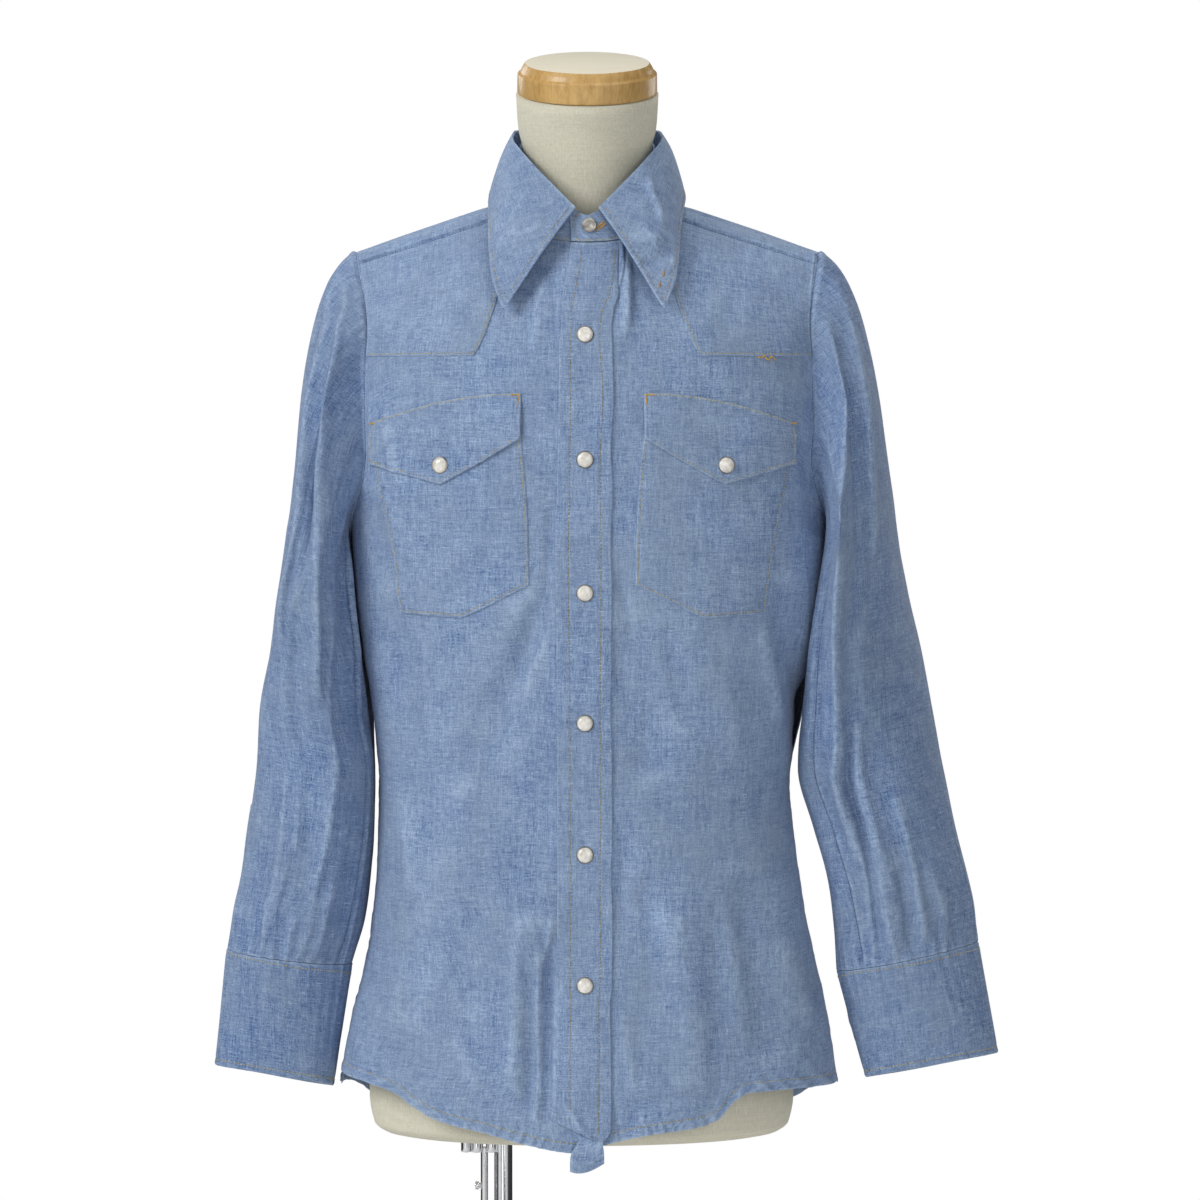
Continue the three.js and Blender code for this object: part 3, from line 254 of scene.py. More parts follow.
# Flaps and pockets, by the distance from the centre line before each side's own shift.
FLAP_TOP = table("x z", "46 1261; 66 1260.5; 88 1258; 112 1253.5; 138 1246; 161 1238.5")
FLAP_BOTTOM = table("x z", "46.5 1227; 76 1209; 102 1194.5; 106 1192.5; 133 1200; 160 1207.5")
POCKET_TOP = 1233
POCKET_INNER = table("z x", "1117 40; 1155 40.5; 1200 43; 1233 47")
POCKET_OUTER = table("z x", "1095 139.5; 1130 142.5; 1165 148; 1200 156; 1233 160")
POCKET_BOTTOM = table("x z", "40 1117; 92 1092; 139.5 1095")
POCKET_SHIFT = {-1: 3.5, 1: -3.5}
POCKET_SNAP = {-1: (-109, 1207), 1: (103.5, 1207)}
# The front yoke: its lower edge's level and end, and the shares at its neck and armhole ends.
YOKE_LINE = {"z": 1289.0, "step": 85.0, "neck": 0.24, "edge": 0.985}

# The collar leaf by shares of its half: the fold's and the free edge's points.
LEAF = table(
    "t fx fy fz ex ey ez",
    """
    0 8.5 -81 1401 63 -105 1322.5; 0.16 23 -70 1416 72.5 -88 1352; 0.34 43 -45 1438 75 -56 1382;
    0.52 57 -8 1457 75.5 -14 1407; 0.7 55 26 1464 74 36 1417; 0.86 34 52 1466 48 76 1414;
    1 0 62 1466 0 90 1410
    """,
)
# The collar stand's upper edge by the angle from the front.
STAND_TOP = table(
    "angle radius z", "0 76 1395; 25 67 1411; 55 56.5 1434; 90 51.5 1451; 140 53.5 1459; 180 56 1459"
)
# The dress form's rings.
FORM = table(
    "z half front back",
    """
    690 140 76 80; 692.5 152 86 92; 699 160 92 98.5; 720 164 95 104; 800 160 94 100; 880 148 86 86;
    950 142 84 80; 1040 152 92 86; 1140 163 102 97; 1230 166 104 101; 1290 166 95 97;
    1330 161 78 82; 1352 146 66 72; 1368 118 56 63; 1382 82 48 56; 1394 60 47 52; 1408 51 49 47;
    1428 48.5 52 42; 1446 49 56 37; 1465 53 62 33; 1490 54.5 73 33
    """,
)

# ---------------------------------------------------------------- helpers


def lerp(a, b, t):
    return a + (b - a) * t


def smooth(value, low, high):
    """0 below low, 1 above high, and a soft step between them."""
    t = np.clip((value - low) / (high - low), 0, 1)
    return t * t * (3 - 2 * t)


def through(rows, key, value):
    """Smooth monotone interpolation: each column of a table at these values of its key."""
    keys = rows[key]
    value = np.clip(value, keys[0], keys[-1])
    i = np.clip(np.searchsorted(keys, value, side="right") - 1, 0, len(keys) - 2)
    span = keys[i + 1] - keys[i]
    t = (value - keys[i]) / span
    found = {}
    for name in rows:
        if name == key:
            continue
        column = rows[name]
        slope = np.diff(column) / np.diff(keys)
        total = slope[:-1] + slope[1:]
        mean = 2 * slope[:-1] * slope[1:] / np.where(total == 0, 1, total)
        inside = np.where(slope[:-1] * slope[1:] > 0, mean, 0)
        tangent = np.concatenate([slope[:1], inside, slope[-1:]])
        rise = span * (t * (1 - t) ** 2 * tangent[i] - t * t * (1 - t) * tangent[i + 1])
        found[name] = lerp(column[i], column[i + 1], t * t * (3 - 2 * t)) + rise
    return found


def facing(side, *grids):
    """Grids made from the centre line outwards, turned to run from left to right on both sides."""
    return grids if side > 0 else tuple(grid[:, ::-1] for grid in grids)


def points(*axes):
    """Points from arrays of their coordinates."""
    return np.stack(np.broadcast_arrays(*axes), -1).astype(float)


def unit(v):
    return v / np.maximum(np.linalg.norm(v, axis=-1, keepdims=True), 1e-9)


def bell(value, width):
    """1 at 0, falling to 0.37 at the width."""
    return np.exp(-((value / width) ** 2))


def mound(value, square):
    """The same by the width's square."""
    return np.exp(-(value**2) / square)


def hermite(start, leaving, end, arriving, t):
    """A curve between two points with its directions there."""
    t = t[..., None]
    out = start * (1 + t * t * (2 * t - 3)) + leaving * t * (1 - t) ** 2
    return out + end * t * t * (3 - 2 * t) - arriving * t * t * (1 - t)


def ripple(along, seed, length):
    """An uneven wave along a line, from -1 to 1, the same on every run."""
    rng = np.random.default_rng(seed)
    total = 0
    for _ in range(5):
        pitch = length * rng.uniform(0.7, 1.7)
        total = total + rng.uniform(0.5, 1) * np.sin(2 * np.pi * along / pitch + rng.uniform(0, 6.28))
    return total / 3


def bumps(x, z, seed, length):
    """A soft uneven surface, from -1 to 1."""
    rng = np.random.default_rng(seed)
    total = 0
    for _ in range(9):
        turn = rng.uniform(0, np.pi)
        pitch = length * rng.uniform(0.7, 1.8)
        run = x * np.cos(turn) + z * np.sin(turn) * 0.6
        total = total + np.sin(2 * np.pi * run / pitch + rng.uniform(0, 6.28))
    return total / 5


def creases(rows, x, z):
    """The height that a table of folds gives to places on a face."""
    height = np.zeros(np.broadcast(x, z).shape)
    for x1, z1, x2, z2, width, rise, *rest in zip(*rows.values()):
        power = rest[0] if rest else 2
        run = np.hypot(x2 - x1, z2 - z1)
        along = ((x - x1) * (x2 - x1) + (z - z1) * (z2 - z1)) / run**2
        beside = ((x - x1) * (z2 - z1) - (z - z1) * (x2 - x1)) / run
        inside = (along > 0) & (along < 1)
        taper = 1 - (2 * np.clip(along, 0, 1) - 1) ** 4
        profile = np.exp(-(np.sqrt((beside / width) ** 2 + 0.02) ** power) * (1 if power == 2 else 1.4))
        height = height + np.where(inside, rise * taper * profile, 0)
    return height


def spread(count, edges=(), low=0.0, high=1.0):
    """Even steps and some extra places, most of them beside the edges, for rounded borders."""
    return np.unique(np.concatenate([np.linspace(low, high, count + 1), np.ravel(edges)]).round(7))


# ---------------------------------------------------------------- the body's surface


def half_width(side, z):
    return through(BODY, "z", z)[NAMES[side]]


def scoop(face, z):
    """How far the armhole cuts into a face, as an angle."""
    rise = np.clip((z - UNDERARM) / SCOOP["height"], 0, 1)
    return math.radians(SCOOP[face]) * (1 - (1 - rise) ** 2.5)


def share_of(face, angle, z):
    """The share of a panel at an angle round the body."""
    share = 0
    for _ in range(8):  # settles in a few steps
        share = (angle + scoop(face, z) * share**4) / (np.pi / 2)
    return share


def ring_point(side, face, angle, z):
    """A point of the body's ring at an angle from the centre line."""
    section = through(BODY, "z", z)
    half = section[NAMES[side]]
    across = np.abs(np.sin(angle) / half) ** section["power"]
    along = np.abs(np.cos(angle) / section[face]) ** section["power"]
    reach = (across + along) ** (-1 / section["power"])
    forward = -1 if face == "front" else 1
    return points(side * reach * np.sin(angle), forward * reach * np.cos(angle), z)


def top_point(side, face, share):
    """The neckline and the shoulder seam, from the centre line outwards."""
    t = (share - NECK_SHARE) / (1 - NECK_SHARE)
    x, y, z = (lerp(a, b, t) for a, b in zip(NECK_POINT, SHOULDER_POINT))
    shoulder = points(side * x, y, z)
    turn = np.clip(share / NECK_SHARE, 0, 1) * np.pi / 2
    y0, z0 = NECK_FRONT if face == "front" else NECK_BACK
    rise = np.cos(turn) ** (1 if face == "front" else 2)
    y, z = lerp(NECK_POINT[1], y0, np.cos(turn)), lerp(NECK_POINT[2], z0, rise)
    neck = points(side * NECK_POINT[0] * np.sin(turn), y, z)
    return np.where((share >= NECK_SHARE)[..., None], shoulder, neck)


def top_tangent(face, share):
    """The cloth's direction where it reaches the neckline or the shoulder's seam."""
    if face == "front":
        t = smooth(share, 0, NECK_SHARE)
        return points(0 * t, lerp(0.45, 0.86, t), lerp(0.89, 0.5, t))
    t = smooth(share, 0, 1.3 * NECK_SHARE)
    return points(0 * t, lerp(-0.6, -1.25, t), lerp(0.7, -0.5, t))


def fold_height(face, x, z):
    """All folds, creases and unevenness of a face."""
    main, fine = (FRONT_FOLDS, FRONT_CREASES) if face == "front" else (BACK_FOLDS, BACK_CREASES)
    height = FOLD_DEPTH * creases(main, x, z) + CREASE_DEPTH * creases(fine, x, z)
    return height + 0.5 * bumps(x, z, 5 if face == "front" else 6, 70) + 0.14 * bumps(x, z, 7, 22)


def body_point(side, face, share, level):
    """A point of the body's cloth: share of the way to the panel's edge, and level up the body."""
    share, level = np.broadcast_arrays(np.asarray(share, float), np.asarray(level, float))
    z = np.minimum(level, YOKE_RING)
    angle = share * np.pi / 2 - scoop(face, z) * share**4
    ring = ring_point(side, face, angle, z)
    below = ring_point(side, face, angle, np.full_like(z, YOKE_RING - 1))
    top = top_point(side, face, share)
    span = np.linalg.norm(top - ring, axis=-1, keepdims=True)
    t = np.clip((level - YOKE_RING) / DOME, 0, 1)
    dome = hermite(ring, (ring - below) * span, top, top_tangent(face, share) * span, t)
    point = np.where((level > YOKE_RING)[..., None], dome, ring)
    out = unit(point * (1, 1, 0))
    return point + out * fold_height(face, point[..., 0], point[..., 2])[..., None]


def share_at(side, face, x, level):
    """The share of a panel within a distance of the centre line, at a level."""
    z = np.minimum(level, YOKE_RING)
    section = through(BODY, "z", z)
    half = section[NAMES[side]]
    y = section[face] * np.maximum(1 - (x / half) ** section["power"], 0) ** (1 / section["power"])
    on_ring = share_of(face, np.arctan2(x, y), z)
    on_neck = NECK_SHARE * np.arcsin(np.clip(x / NECK_POINT[0], 0, 1)) / (np.pi / 2)
    return np.where(level <= YOKE_RING, on_ring, lerp(on_ring, on_neck, (level - YOKE_RING) / DOME))


def surface(side, face, share, level, height=0.0):
    """A point over the body's cloth and the cloth's normal there."""
    e = 0.004
    across = body_point(side, face, share + e, level) - body_point(side, face, share - e, level)
    up = body_point(side, face, share, level + 1) - body_point(side, face, share, level - 1)
    normal = unit(np.cross(across, up)) * side * (1 if face == "front" else -1)
    return body_point(side, face, share, level) + normal * np.asarray(height)[..., None], normal


def front(x, level, height=0.0):
    """The same for the front, by the signed distance from the centre line."""
    x, level, height = np.broadcast_arrays(np.asarray(x, float), np.asarray(level, float), height)
    shares = [share_at(side, "front", np.abs(x), level) for side in SIDES]
    faces = [surface(side, "front", share, level, height) for side, share in zip(SIDES, shares)]
    right = (x < 0)[..., None]
    return tuple(np.where(right, *both) for both in zip(*faces))


def hem_level(side, face, share):
    """The hem's level at a share of a panel."""
    x = np.abs(ring_point(side, face, share * np.pi / 2, np.full_like(share, 700.0))[..., 0])
    return through(HEM["back" if face == "back" else side], "x", x)["z"]

# ---------------------------------------------------------------- meshes


def normals_of(grid, closed=False):
    """Outward normals of a grid: columns run left to right and rows upwards, seen from outside."""
    if closed:
        across = np.roll(grid, -1, 1) - np.roll(grid, 1, 1)
    else:
        across = np.gradient(grid, axis=1)
    return unit(np.cross(across, np.gradient(grid, axis=0)))


def arcs(grid, axis):
    """How far along the cloth each point of a grid lies, in one direction."""
    steps = np.linalg.norm(np.diff(grid, axis=axis), axis=-1)
    start = np.zeros_like(np.take(steps, [0], axis))
    return np.cumsum(np.concatenate([start, steps], axis), axis)


def blurred(field, reach, closed=False):
    """The mean of a field's rows and columns within so many cells."""
    for axis in (0, 1):
        size = min(reach, field.shape[axis] - 1)
        pad = [(0, 0)] * field.ndim
        pad[axis] = (size, size)
        wide = np.pad(field, pad, "wrap" if closed and axis == 1 else "edge")
        total = np.cumsum(np.concatenate([np.zeros_like(np.take(wide, [0], axis)), wide], axis), axis)
        step = 2 * size + 1
        count = field.shape[axis]
        ends = np.take(total, np.arange(count) + step, axis), np.take(total, np.arange(count), axis)
        field = (ends[0] - ends[1]) / step
    return field


# How much the cloth's edges are paled by wear, and how far in.
EDGE_WORN = 0.5
EDGE_WIDTH = 2.5


class Cloth:
    """A piece of cloth: its outer face as a grid, and how it was cut."""

    def __init__(
        self, name, grid, thickness=THIN, closed=False, under=None, level=0, straight=None, flat=None
    ):
        """under: the inner face. level and straight: the row and column where the weave is true."""
        self.name, self.grid, self.closed = name, grid, closed
        self.normals = normals_of(grid, closed)
        self.under = grid - self.normals * thickness if under is None else under
        u, v = arcs(grid, 1), arcs(grid, 0)
        middle = grid.shape[1] // 2 if straight is None else straight
        self.flat = np.stack([u - u[:, middle, None], v - v[level]], -1) if flat is None else flat
        edge = np.minimum(v, v[-1] - v)
        if not closed:
            edge = np.minimum(edge, np.minimum(u, u[:, -1:] - u))
        # Paler wear along the edges, and the folds' ridges and hollows: partly wear, partly painted
        # highlight and painted shade.
        self.wear_and_fold_shade = np.maximum(self.ridge_wear_and_fold_shade(), EDGE_WORN * np.clip(1 - edge / EDGE_WIDTH, 0, 1))

    def ridge_wear_and_fold_shade(self):
        """Paler ridges and darker hollows of the cloth's folds: partly wear, partly painted highlight
        and painted shade.
        """
        proud = ((self.grid - blurred(self.grid, 4, self.closed)) * self.normals).sum(-1)
        return np.clip(0.4 * (proud - blurred(proud, 14, self.closed)), -0.3, 0.4)

    def at(self, row, column):
        """Points and normals at fractional rows and columns."""
        row, column = np.broadcast_arrays(np.asarray(row, float), np.asarray(column, float))
        rows, columns = self.grid.shape[:2]
        j = np.clip(row.astype(int), 0, rows - 2)
        i = column.astype(int) if self.closed else np.clip(column.astype(int), 0, columns - 2)
        a, b = (row - j)[..., None], (column - i)[..., None]
        i, k = i % columns, (i + 1) % columns
        both = []
        for field in (self.grid, self.normals):
            low = field[j, i] * (1 - b) + field[j, k] * b
            both.append(low * (1 - a) + (field[j + 1, i] * (1 - b) + field[j + 1, k] * b) * a)
        return both[0], unit(both[1])

    def build(self, material, flat, held, rests_on):
        rows, columns = self.grid.shape[:2]
        count = rows * columns
        steps = columns if self.closed else columns - 1
        j, i = np.meshgrid(np.arange(rows - 1), np.arange(steps), indexing="ij")
        k = (i + 1) % columns
        low, high = j * columns, (j + 1) * columns
        cell = np.stack([low + i, low + k, high + k, high + i], -1).reshape(-1, 4)
        here, ahead = np.arange(steps), (np.arange(steps) + 1) % columns
        last = (rows - 1) * columns
        borders = [(here, ahead), (last + ahead, last + here)]
        if not self.closed:
            up = np.arange(rows - 1) * columns
            borders.append((up + columns, up))
            borders.append((up + columns - 1, up + 2 * columns - 1))
        rims = [np.stack([q, p, p + count, q + count], -1) for p, q in borders]
        faces = np.concatenate([cell, cell[:, ::-1] + count, *rims])
        places = np.concatenate([self.grid.reshape(-1, 3), self.under.reshape(-1, 3)]) / 1000
        flat_place = np.tile(self.flat.reshape(-1, 2), (2, 1)) / 1000
        inner = np.repeat([0.0, 1.0], count)
        made = mesh_object(self.name + "_cloth", places, faces, material)
        store(made, "cloth", "FLOAT_VECTOR", "vector", np.column_stack([flat_place, inner]))
        store(made, "wear_and_fold_shade", "FLOAT", "value", np.tile(self.wear_and_fold_shade.ravel(), 2))
        sharp_borders(made, len(cell))
        enter(made, self.name)


def mesh_object(name, places, faces, material, smooth_faces=True):
    mesh = bpy.data.meshes.new(name)
    mesh.from_pydata(np.asarray(places).tolist(), [], [list(map(int, face)) for face in faces])
    mesh.polygons.foreach_set("use_smooth", [smooth_faces] * len(mesh.polygons))
    mesh.materials.append(material)
    mesh.validate()
    made = bpy.data.objects.new(name, mesh)
    bpy.context.scene.collection.objects.link(made)
    return made


def enter(made, replaced=None):
    """Gives a piece its place in the part: its body, and the node that it replaces."""
    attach(made, "root")
    if replaced:
        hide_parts(replaced)


def store(made, name, kind, key, values):
    """Keeps a value for each point, for the materials."""
    kept = made.data.attributes.new(name, kind, "POINT")
    kept.data.foreach_set(key, np.ravel(values).astype(np.float32))


def sharp_borders(made, cells):
    """Marks the edges between a cloth's faces and its rims as sharp."""
    mesh = made.data
    sets = mesh.polygons[: 2 * cells], mesh.polygons[2 * cells :]
    of_faces, of_rims = ({key for polygon in some for key in polygon.edge_keys} for some in sets)
    both = of_faces & of_rims
    sharp = [tuple(sorted(edge.vertices)) in both for edge in mesh.edges]
    mesh.attributes.new("sharp_edge", "BOOLEAN", "EDGE").data.foreach_set("value", sharp)

# ---------------------------------------------------------------- materials


def add_node(tree, kind, inputs=(), **settings):
    made = tree.nodes.new("ShaderNode" + kind)
    for key, value in settings.items():
        setattr(made, key, value)
    for key, value in dict(inputs).items():
        if isinstance(value, bpy.types.NodeSocket):
            tree.links.new(value, made.inputs[key])
        else:
            made.inputs[key].default_value = value
    return made


def calculate(tree, operation, a, b=0.0):
    return add_node(tree, "Math", {0: a, 1: b}, operation=operation).outputs[0]


def add(tree, a, b):
    return calculate(tree, "ADD", a, b)


def times(tree, a, b):
    return calculate(tree, "MULTIPLY", a, b)


def noise(tree, place, scale, detail=2.0, rough=0.5):
    """Noise from 0 to 1 at so many features a metre in each direction."""
    stretched = add_node(tree, "Mapping", {"Vector": place, "Scale": scale}).outputs[0]
    settings = {"Vector": stretched, "Scale": 1.0, "Detail": detail, "Roughness": rough}
    return add_node(tree, "TexNoise", settings).outputs[0]


def blend_colours(tree, factor, a, b):
    return add_node(tree, "Mix", {0: factor, 6: a, 7: b}, data_type="RGBA").outputs[2]


def fit_range(tree, value, low, high, to_low=0.0, to_high=1.0):
    limits = {"Value": value, 1: low, 2: high, 3: to_low, 4: to_high}
    return add_node(tree, "MapRange", limits, clamp=True).outputs[0]


def bump(tree, shader, strength, distance, height, first=None):
    """Relief on a material: distance in metres, over a first relief if there is one."""
    inputs = {"Strength": strength, "Distance": distance, "Height": height}
    if first:
        inputs["Normal"] = first
    made = add_node(tree, "Bump", inputs).outputs[0]
    tree.links.new(made, shader.inputs["Normal"])
    return made


def new_material(name, **settings):
    """A material, its nodes and its shader, with the shader's inputs by name."""
    made = bpy.data.materials.new(name)
    made.use_nodes = True
    tree = made.node_tree
    shader = tree.nodes["Principled BSDF"]
    for key, value in settings.items():
        shader.inputs[key.replace("_", " ")].default_value = value
    return made, tree, shader


def sum_of(tree, start, terms):
    """start plus each noise's distance from its middle times its weight."""
    total = start
    for value, weight in terms:
        share = calculate(tree, "MULTIPLY_ADD", value, weight)
        share.node.inputs[2].default_value = -0.5 * weight
        total = calculate(tree, "ADD", total, share)
    return total


BLUE_DARK, BLUE_PALE = (0.035, 0.095, 0.27, 1), (0.415, 0.54, 0.73, 1)
GREYED = (0.235, 0.305, 0.40, 1)
LINEN_DARK, LINEN_PALE = (0.54, 0.515, 0.40, 1), (0.86, 0.83, 0.68, 1)
LINEN_FLECK = (0.30, 0.27, 0.20, 1)
PEARL_DARK, PEARL_PALE = (0.66, 0.63, 0.56, 1), (0.93, 0.91, 0.85, 1)


def chambray_material(name, tone=0.5, grey=0.25):
    """Blue warp and white weft, uneven threads with pale slubs, paler by wear along its edges; fold
    ridges paler and hollows darker, partly wear, partly painted highlight and painted shade.
    """
    made, tree, shader = new_material(
        name, Roughness=0.92, Sheen_Weight=0.12, Sheen_Roughness=0.5, Specular_IOR_Level=0.2
    )
    place = add_node(tree, "Attribute", attribute_name="cloth").outputs["Vector"]
    wear_and_fold_shade = add_node(tree, "Attribute", attribute_name="wear_and_fold_shade").outputs["Fac"]
    warp = noise(tree, place, (1300, 110, 1))
    weft = noise(tree, place, (110, 1300, 1))
    threads = [(warp, 0.85), (weft, 0.85)]
    heather = [
        (noise(tree, place, (420, 26, 1), 3), 0.48),
        (noise(tree, place, (26, 420, 1), 3), 0.42),
        (noise(tree, place, (700, 700, 1)), 0.9),
        (noise(tree, place, (60, 45, 1), 4), 0.36),
        (noise(tree, place, (9, 8, 1), 3), 0.22),
    ]
    pale = sum_of(tree, tone, threads + heather)
    slub = fit_range(tree, noise(tree, place, (85, 1100, 1), 1), 0.68, 0.75, 0, 0.55)
    slub_up = fit_range(tree, noise(tree, place, (1100, 85, 1), 1), 0.69, 0.76, 0, 0.45)
    pale = add(tree, pale, add(tree, slub, slub_up))
    patch = noise(tree, place, (180, 180, 1), 2)
    # Paler along the edges by wear; paler on fold ridges and darker in hollows, partly wear, partly
    # painted highlight and painted shade.
    paling_by_wear_and_shade = times(tree, wear_and_fold_shade, fit_range(tree, patch, 0.35, 0.65, 0.25, 1))
    pale = add(tree, pale, times(tree, paling_by_wear_and_shade, 0.8))
    colour = blend_colours(tree, fit_range(tree, pale, 0, 1), BLUE_DARK, BLUE_PALE)
    patch = fit_range(tree, noise(tree, place, (15, 11, 1), 3), 0.35, 0.75, 0, grey * 2)
    colour = blend_colours(tree, patch, colour, GREYED)
    tree.links.new(colour, shader.inputs["Base Color"])
    # Small creases: narrow ridges where a noise passes its middle value, over a soft unevenness.
    crumple = noise(tree, place, (26, 15, 1), 3, 0.6)
    off_middle = calculate(tree, "ABSOLUTE", calculate(tree, "SUBTRACT", crumple, 0.5))
    ridge = fit_range(tree, off_middle, 0.0, 0.045, 1, 0)
    where = fit_range(tree, noise(tree, place, (8, 8, 1), 1), 0.42, 0.62)
    soft = noise(tree, place, (52, 34, 1), 2)
    creased = add(tree, times(tree, ridge, times(tree, where, 0.22)), times(tree, soft, 2.0))
    first = bump(tree, shader, 1.0, 0.0012, creased)
    bump(tree, shader, 0.4, 0.0004, add(tree, warp, weft), first)
    return made


def thread_material(name, colour, other):
    made, tree, shader = new_material(name, Roughness=0.8)
    place = add_node(tree, "TexCoord").outputs["Object"]
    mix = fit_range(tree, noise(tree, place, (300, 300, 300)), 0.35, 0.65)
    tree.links.new(blend_colours(tree, mix, colour, other), shader.inputs["Base Color"])
    return made


def linen_material():
    made, tree, shader = new_material("form_linen", Roughness=0.95)
    place = add_node(tree, "TexCoord").outputs["Object"]
    across = noise(tree, place, (1100, 1100, 90))
    along = noise(tree, place, (60, 60, 1100))
    pale = sum_of(tree, 0.5, [(across, 0.9), (along, 0.45), (noise(tree, place, (9, 9, 9), 3), 0.4)])
    fleck = fit_range(tree, noise(tree, place, (160, 160, 160), 1), 0.79, 0.82, 0, 0.6)
    colour = blend_colours(tree, fit_range(tree, pale, 0, 1), LINEN_DARK, LINEN_PALE)
    colour = blend_colours(tree, fleck, colour, LINEN_FLECK)
    tree.links.new(colour, shader.inputs["Base Color"])
    bump(tree, shader, 0.5, 0.0005, add(tree, across, along))
    return made


def wood_material(name, dark, light, upright):
    """Satin beech: the grain runs across the top and up and down the band."""
    made, tree, shader = new_material(name, Roughness=0.38, Coat_Weight=0.15)
    place = add_node(tree, "TexCoord").outputs["Object"]
    grain = noise(tree, place, (200, 200, 24) if upright else (18, 240, 240), 4, 0.6)
    pores = noise(tree, place, (900, 900, 120) if upright else (120, 1400, 1400), 2)
    pale = sum_of(tree, 0.5, [(grain, 1.5), (pores, 0.7), (noise(tree, place, (12, 30, 30)), 0.8)])
    colour = blend_colours(tree, fit_range(tree, pale, 0, 1), dark, light)
    tree.links.new(colour, shader.inputs["Base Color"])
    bump(tree, shader, 0.15, 0.0003, pores)
    return made


def pearl_material():
    made, tree, shader = new_material(
        "snap_pearl", Roughness=0.16, Coat_Weight=0.6, Coat_Roughness=0.05
    )
    place = add_node(tree, "TexCoord").outputs["Object"]
    swirl = noise(tree, place, (240, 240, 150), 4, 0.65)
    colour = blend_colours(tree, fit_range(tree, swirl, 0.38, 0.62), PEARL_DARK, PEARL_PALE)
    tree.links.new(colour, shader.inputs["Base Color"])
    return made


def metal_material(name, dark, light, rough):
    made, tree, shader = new_material(name, Metallic=1.0)
    place = add_node(tree, "TexCoord").outputs["Object"]
    tarnish = noise(tree, place, (170, 170, 170), 4, 0.6)
    colour = blend_colours(tree, fit_range(tree, tarnish, 0.35, 0.65), dark, light)
    tree.links.new(colour, shader.inputs["Base Color"])
    tree.links.new(fit_range(tree, tarnish, 0.3, 0.7, rough[1], rough[0]), shader.inputs["Roughness"])
    return made


chambray = chambray_material("chambray")
# A darker copy of the chambray for sleeves, cuffs and sleeve plackets: painted shade, as they hang back
# from the light.
shaded_chambray = chambray_material("chambray_sleeves_painted_shade", tone=0.38)
THREADS = {
    "tan": ((0.36, 0.29, 0.10, 1), (0.58, 0.50, 0.22, 1)),
    "brown": ((0.25, 0.19, 0.07, 1), (0.44, 0.36, 0.16, 1)),
    "gold": ((0.62, 0.33, 0.03, 1), (0.80, 0.48, 0.08, 1)),
    # Dark navy thread, also drawing painted shade in seams and in a slit.
    "seam_shade_blue": ((0.05, 0.09, 0.18, 1), (0.10, 0.17, 0.32, 1)),
}
linen, pearl = linen_material(), pearl_material()
wood = wood_material("wood_band", (0.40, 0.215, 0.055, 1), (0.72, 0.475, 0.18, 1), True)
# The cap's flat top in pale cream: a painted highlight of the light falling on it from above.
wood_top_painted_highlight = wood_material("wood_top_painted_highlight", (0.95, 0.87, 0.66, 1), (0.99, 0.95, 0.80, 1), False)
nickel = metal_material("snap_nickel", (0.16, 0.15, 0.14, 1), (0.42, 0.40, 0.37, 1), (0.3, 0.5))
brass = metal_material("button_metal", (0.20, 0.19, 0.17, 1), (0.55, 0.53, 0.49, 1), (0.36, 0.55))
chrome = metal_material("stand_chrome", (0.72, 0.73, 0.75, 1), (0.80, 0.81, 0.82, 1), (0.06, 0.14))

# ---------------------------------------------------------------- sewing

threads = {kind: [] for kind in THREADS}  # the stitches sewn so far
# Stitches that draw a seam in as a row of short dark dashes: thread, and painted shade along the seam's
# groove.
SEAM_SHADE = {"kind": "seam_shade_blue", "pitch": 2.2, "length": 2.6, "height": 0.2}


def sew(path, kind="tan", pitch=2.6, length=2.5, width=1.25, height=0.42, start=0.0):
    """Stitches along a line, (points, normals): each is two pyramids, base to base."""
    line, normal = path
    steps = np.concatenate([[0], np.cumsum(np.linalg.norm(np.diff(line, axis=0), axis=1))])
    places = np.arange(start + pitch / 2, steps[-1], pitch)
    if not len(places):
        return
    rng = np.random.default_rng(int(steps[-1] * 10) % 9973)  # each line has its own unevenness
    places = places + rng.uniform(-0.1, 0.1, len(places)) * pitch
    find = lambda field, at: np.stack([np.interp(at, steps, field[:, k]) for k in range(3)], -1)
    centre, out = find(line, places), unit(find(normal, places))
    along = unit(find(line, places + 0.8) - find(line, places - 0.8))
    side = unit(np.cross(out, along))
    sizes = length * rng.uniform(0.85, 1.1, (len(places), 1)) / 2
    skew = side * rng.uniform(-0.06, 0.06, (len(places), 1)) * length
    corners = [
        centre - along * sizes - skew - out * 0.12,
        centre + along * sizes + skew - out * 0.12,
        centre - side * width / 2,
        centre + side * width / 2,
        centre + out * height,
        centre - out * height,
    ]
    threads[kind].append(np.stack(corners, 1))


def tack(centre, normal, along, length, width, kind="gold"):
    """A bar-tack: close stitches across a short line."""
    side = unit(np.cross(normal, along))
    count = int(length / 0.55)
    rng = np.random.default_rng(count)
    for t in np.linspace(-0.5, 0.5, count):
        middle = centre + along * t * length
        reach = side * width * rng.uniform(0.42, 0.55)
        lean = along * rng.uniform(-0.3, 0.3)
        line = np.array([middle - reach - lean, middle + reach + lean]) + normal * 0.15
        size = width * 1.1
        sew((line, np.array([normal, normal])), kind, size, size, width=0.7, height=0.35, start=-0.04)


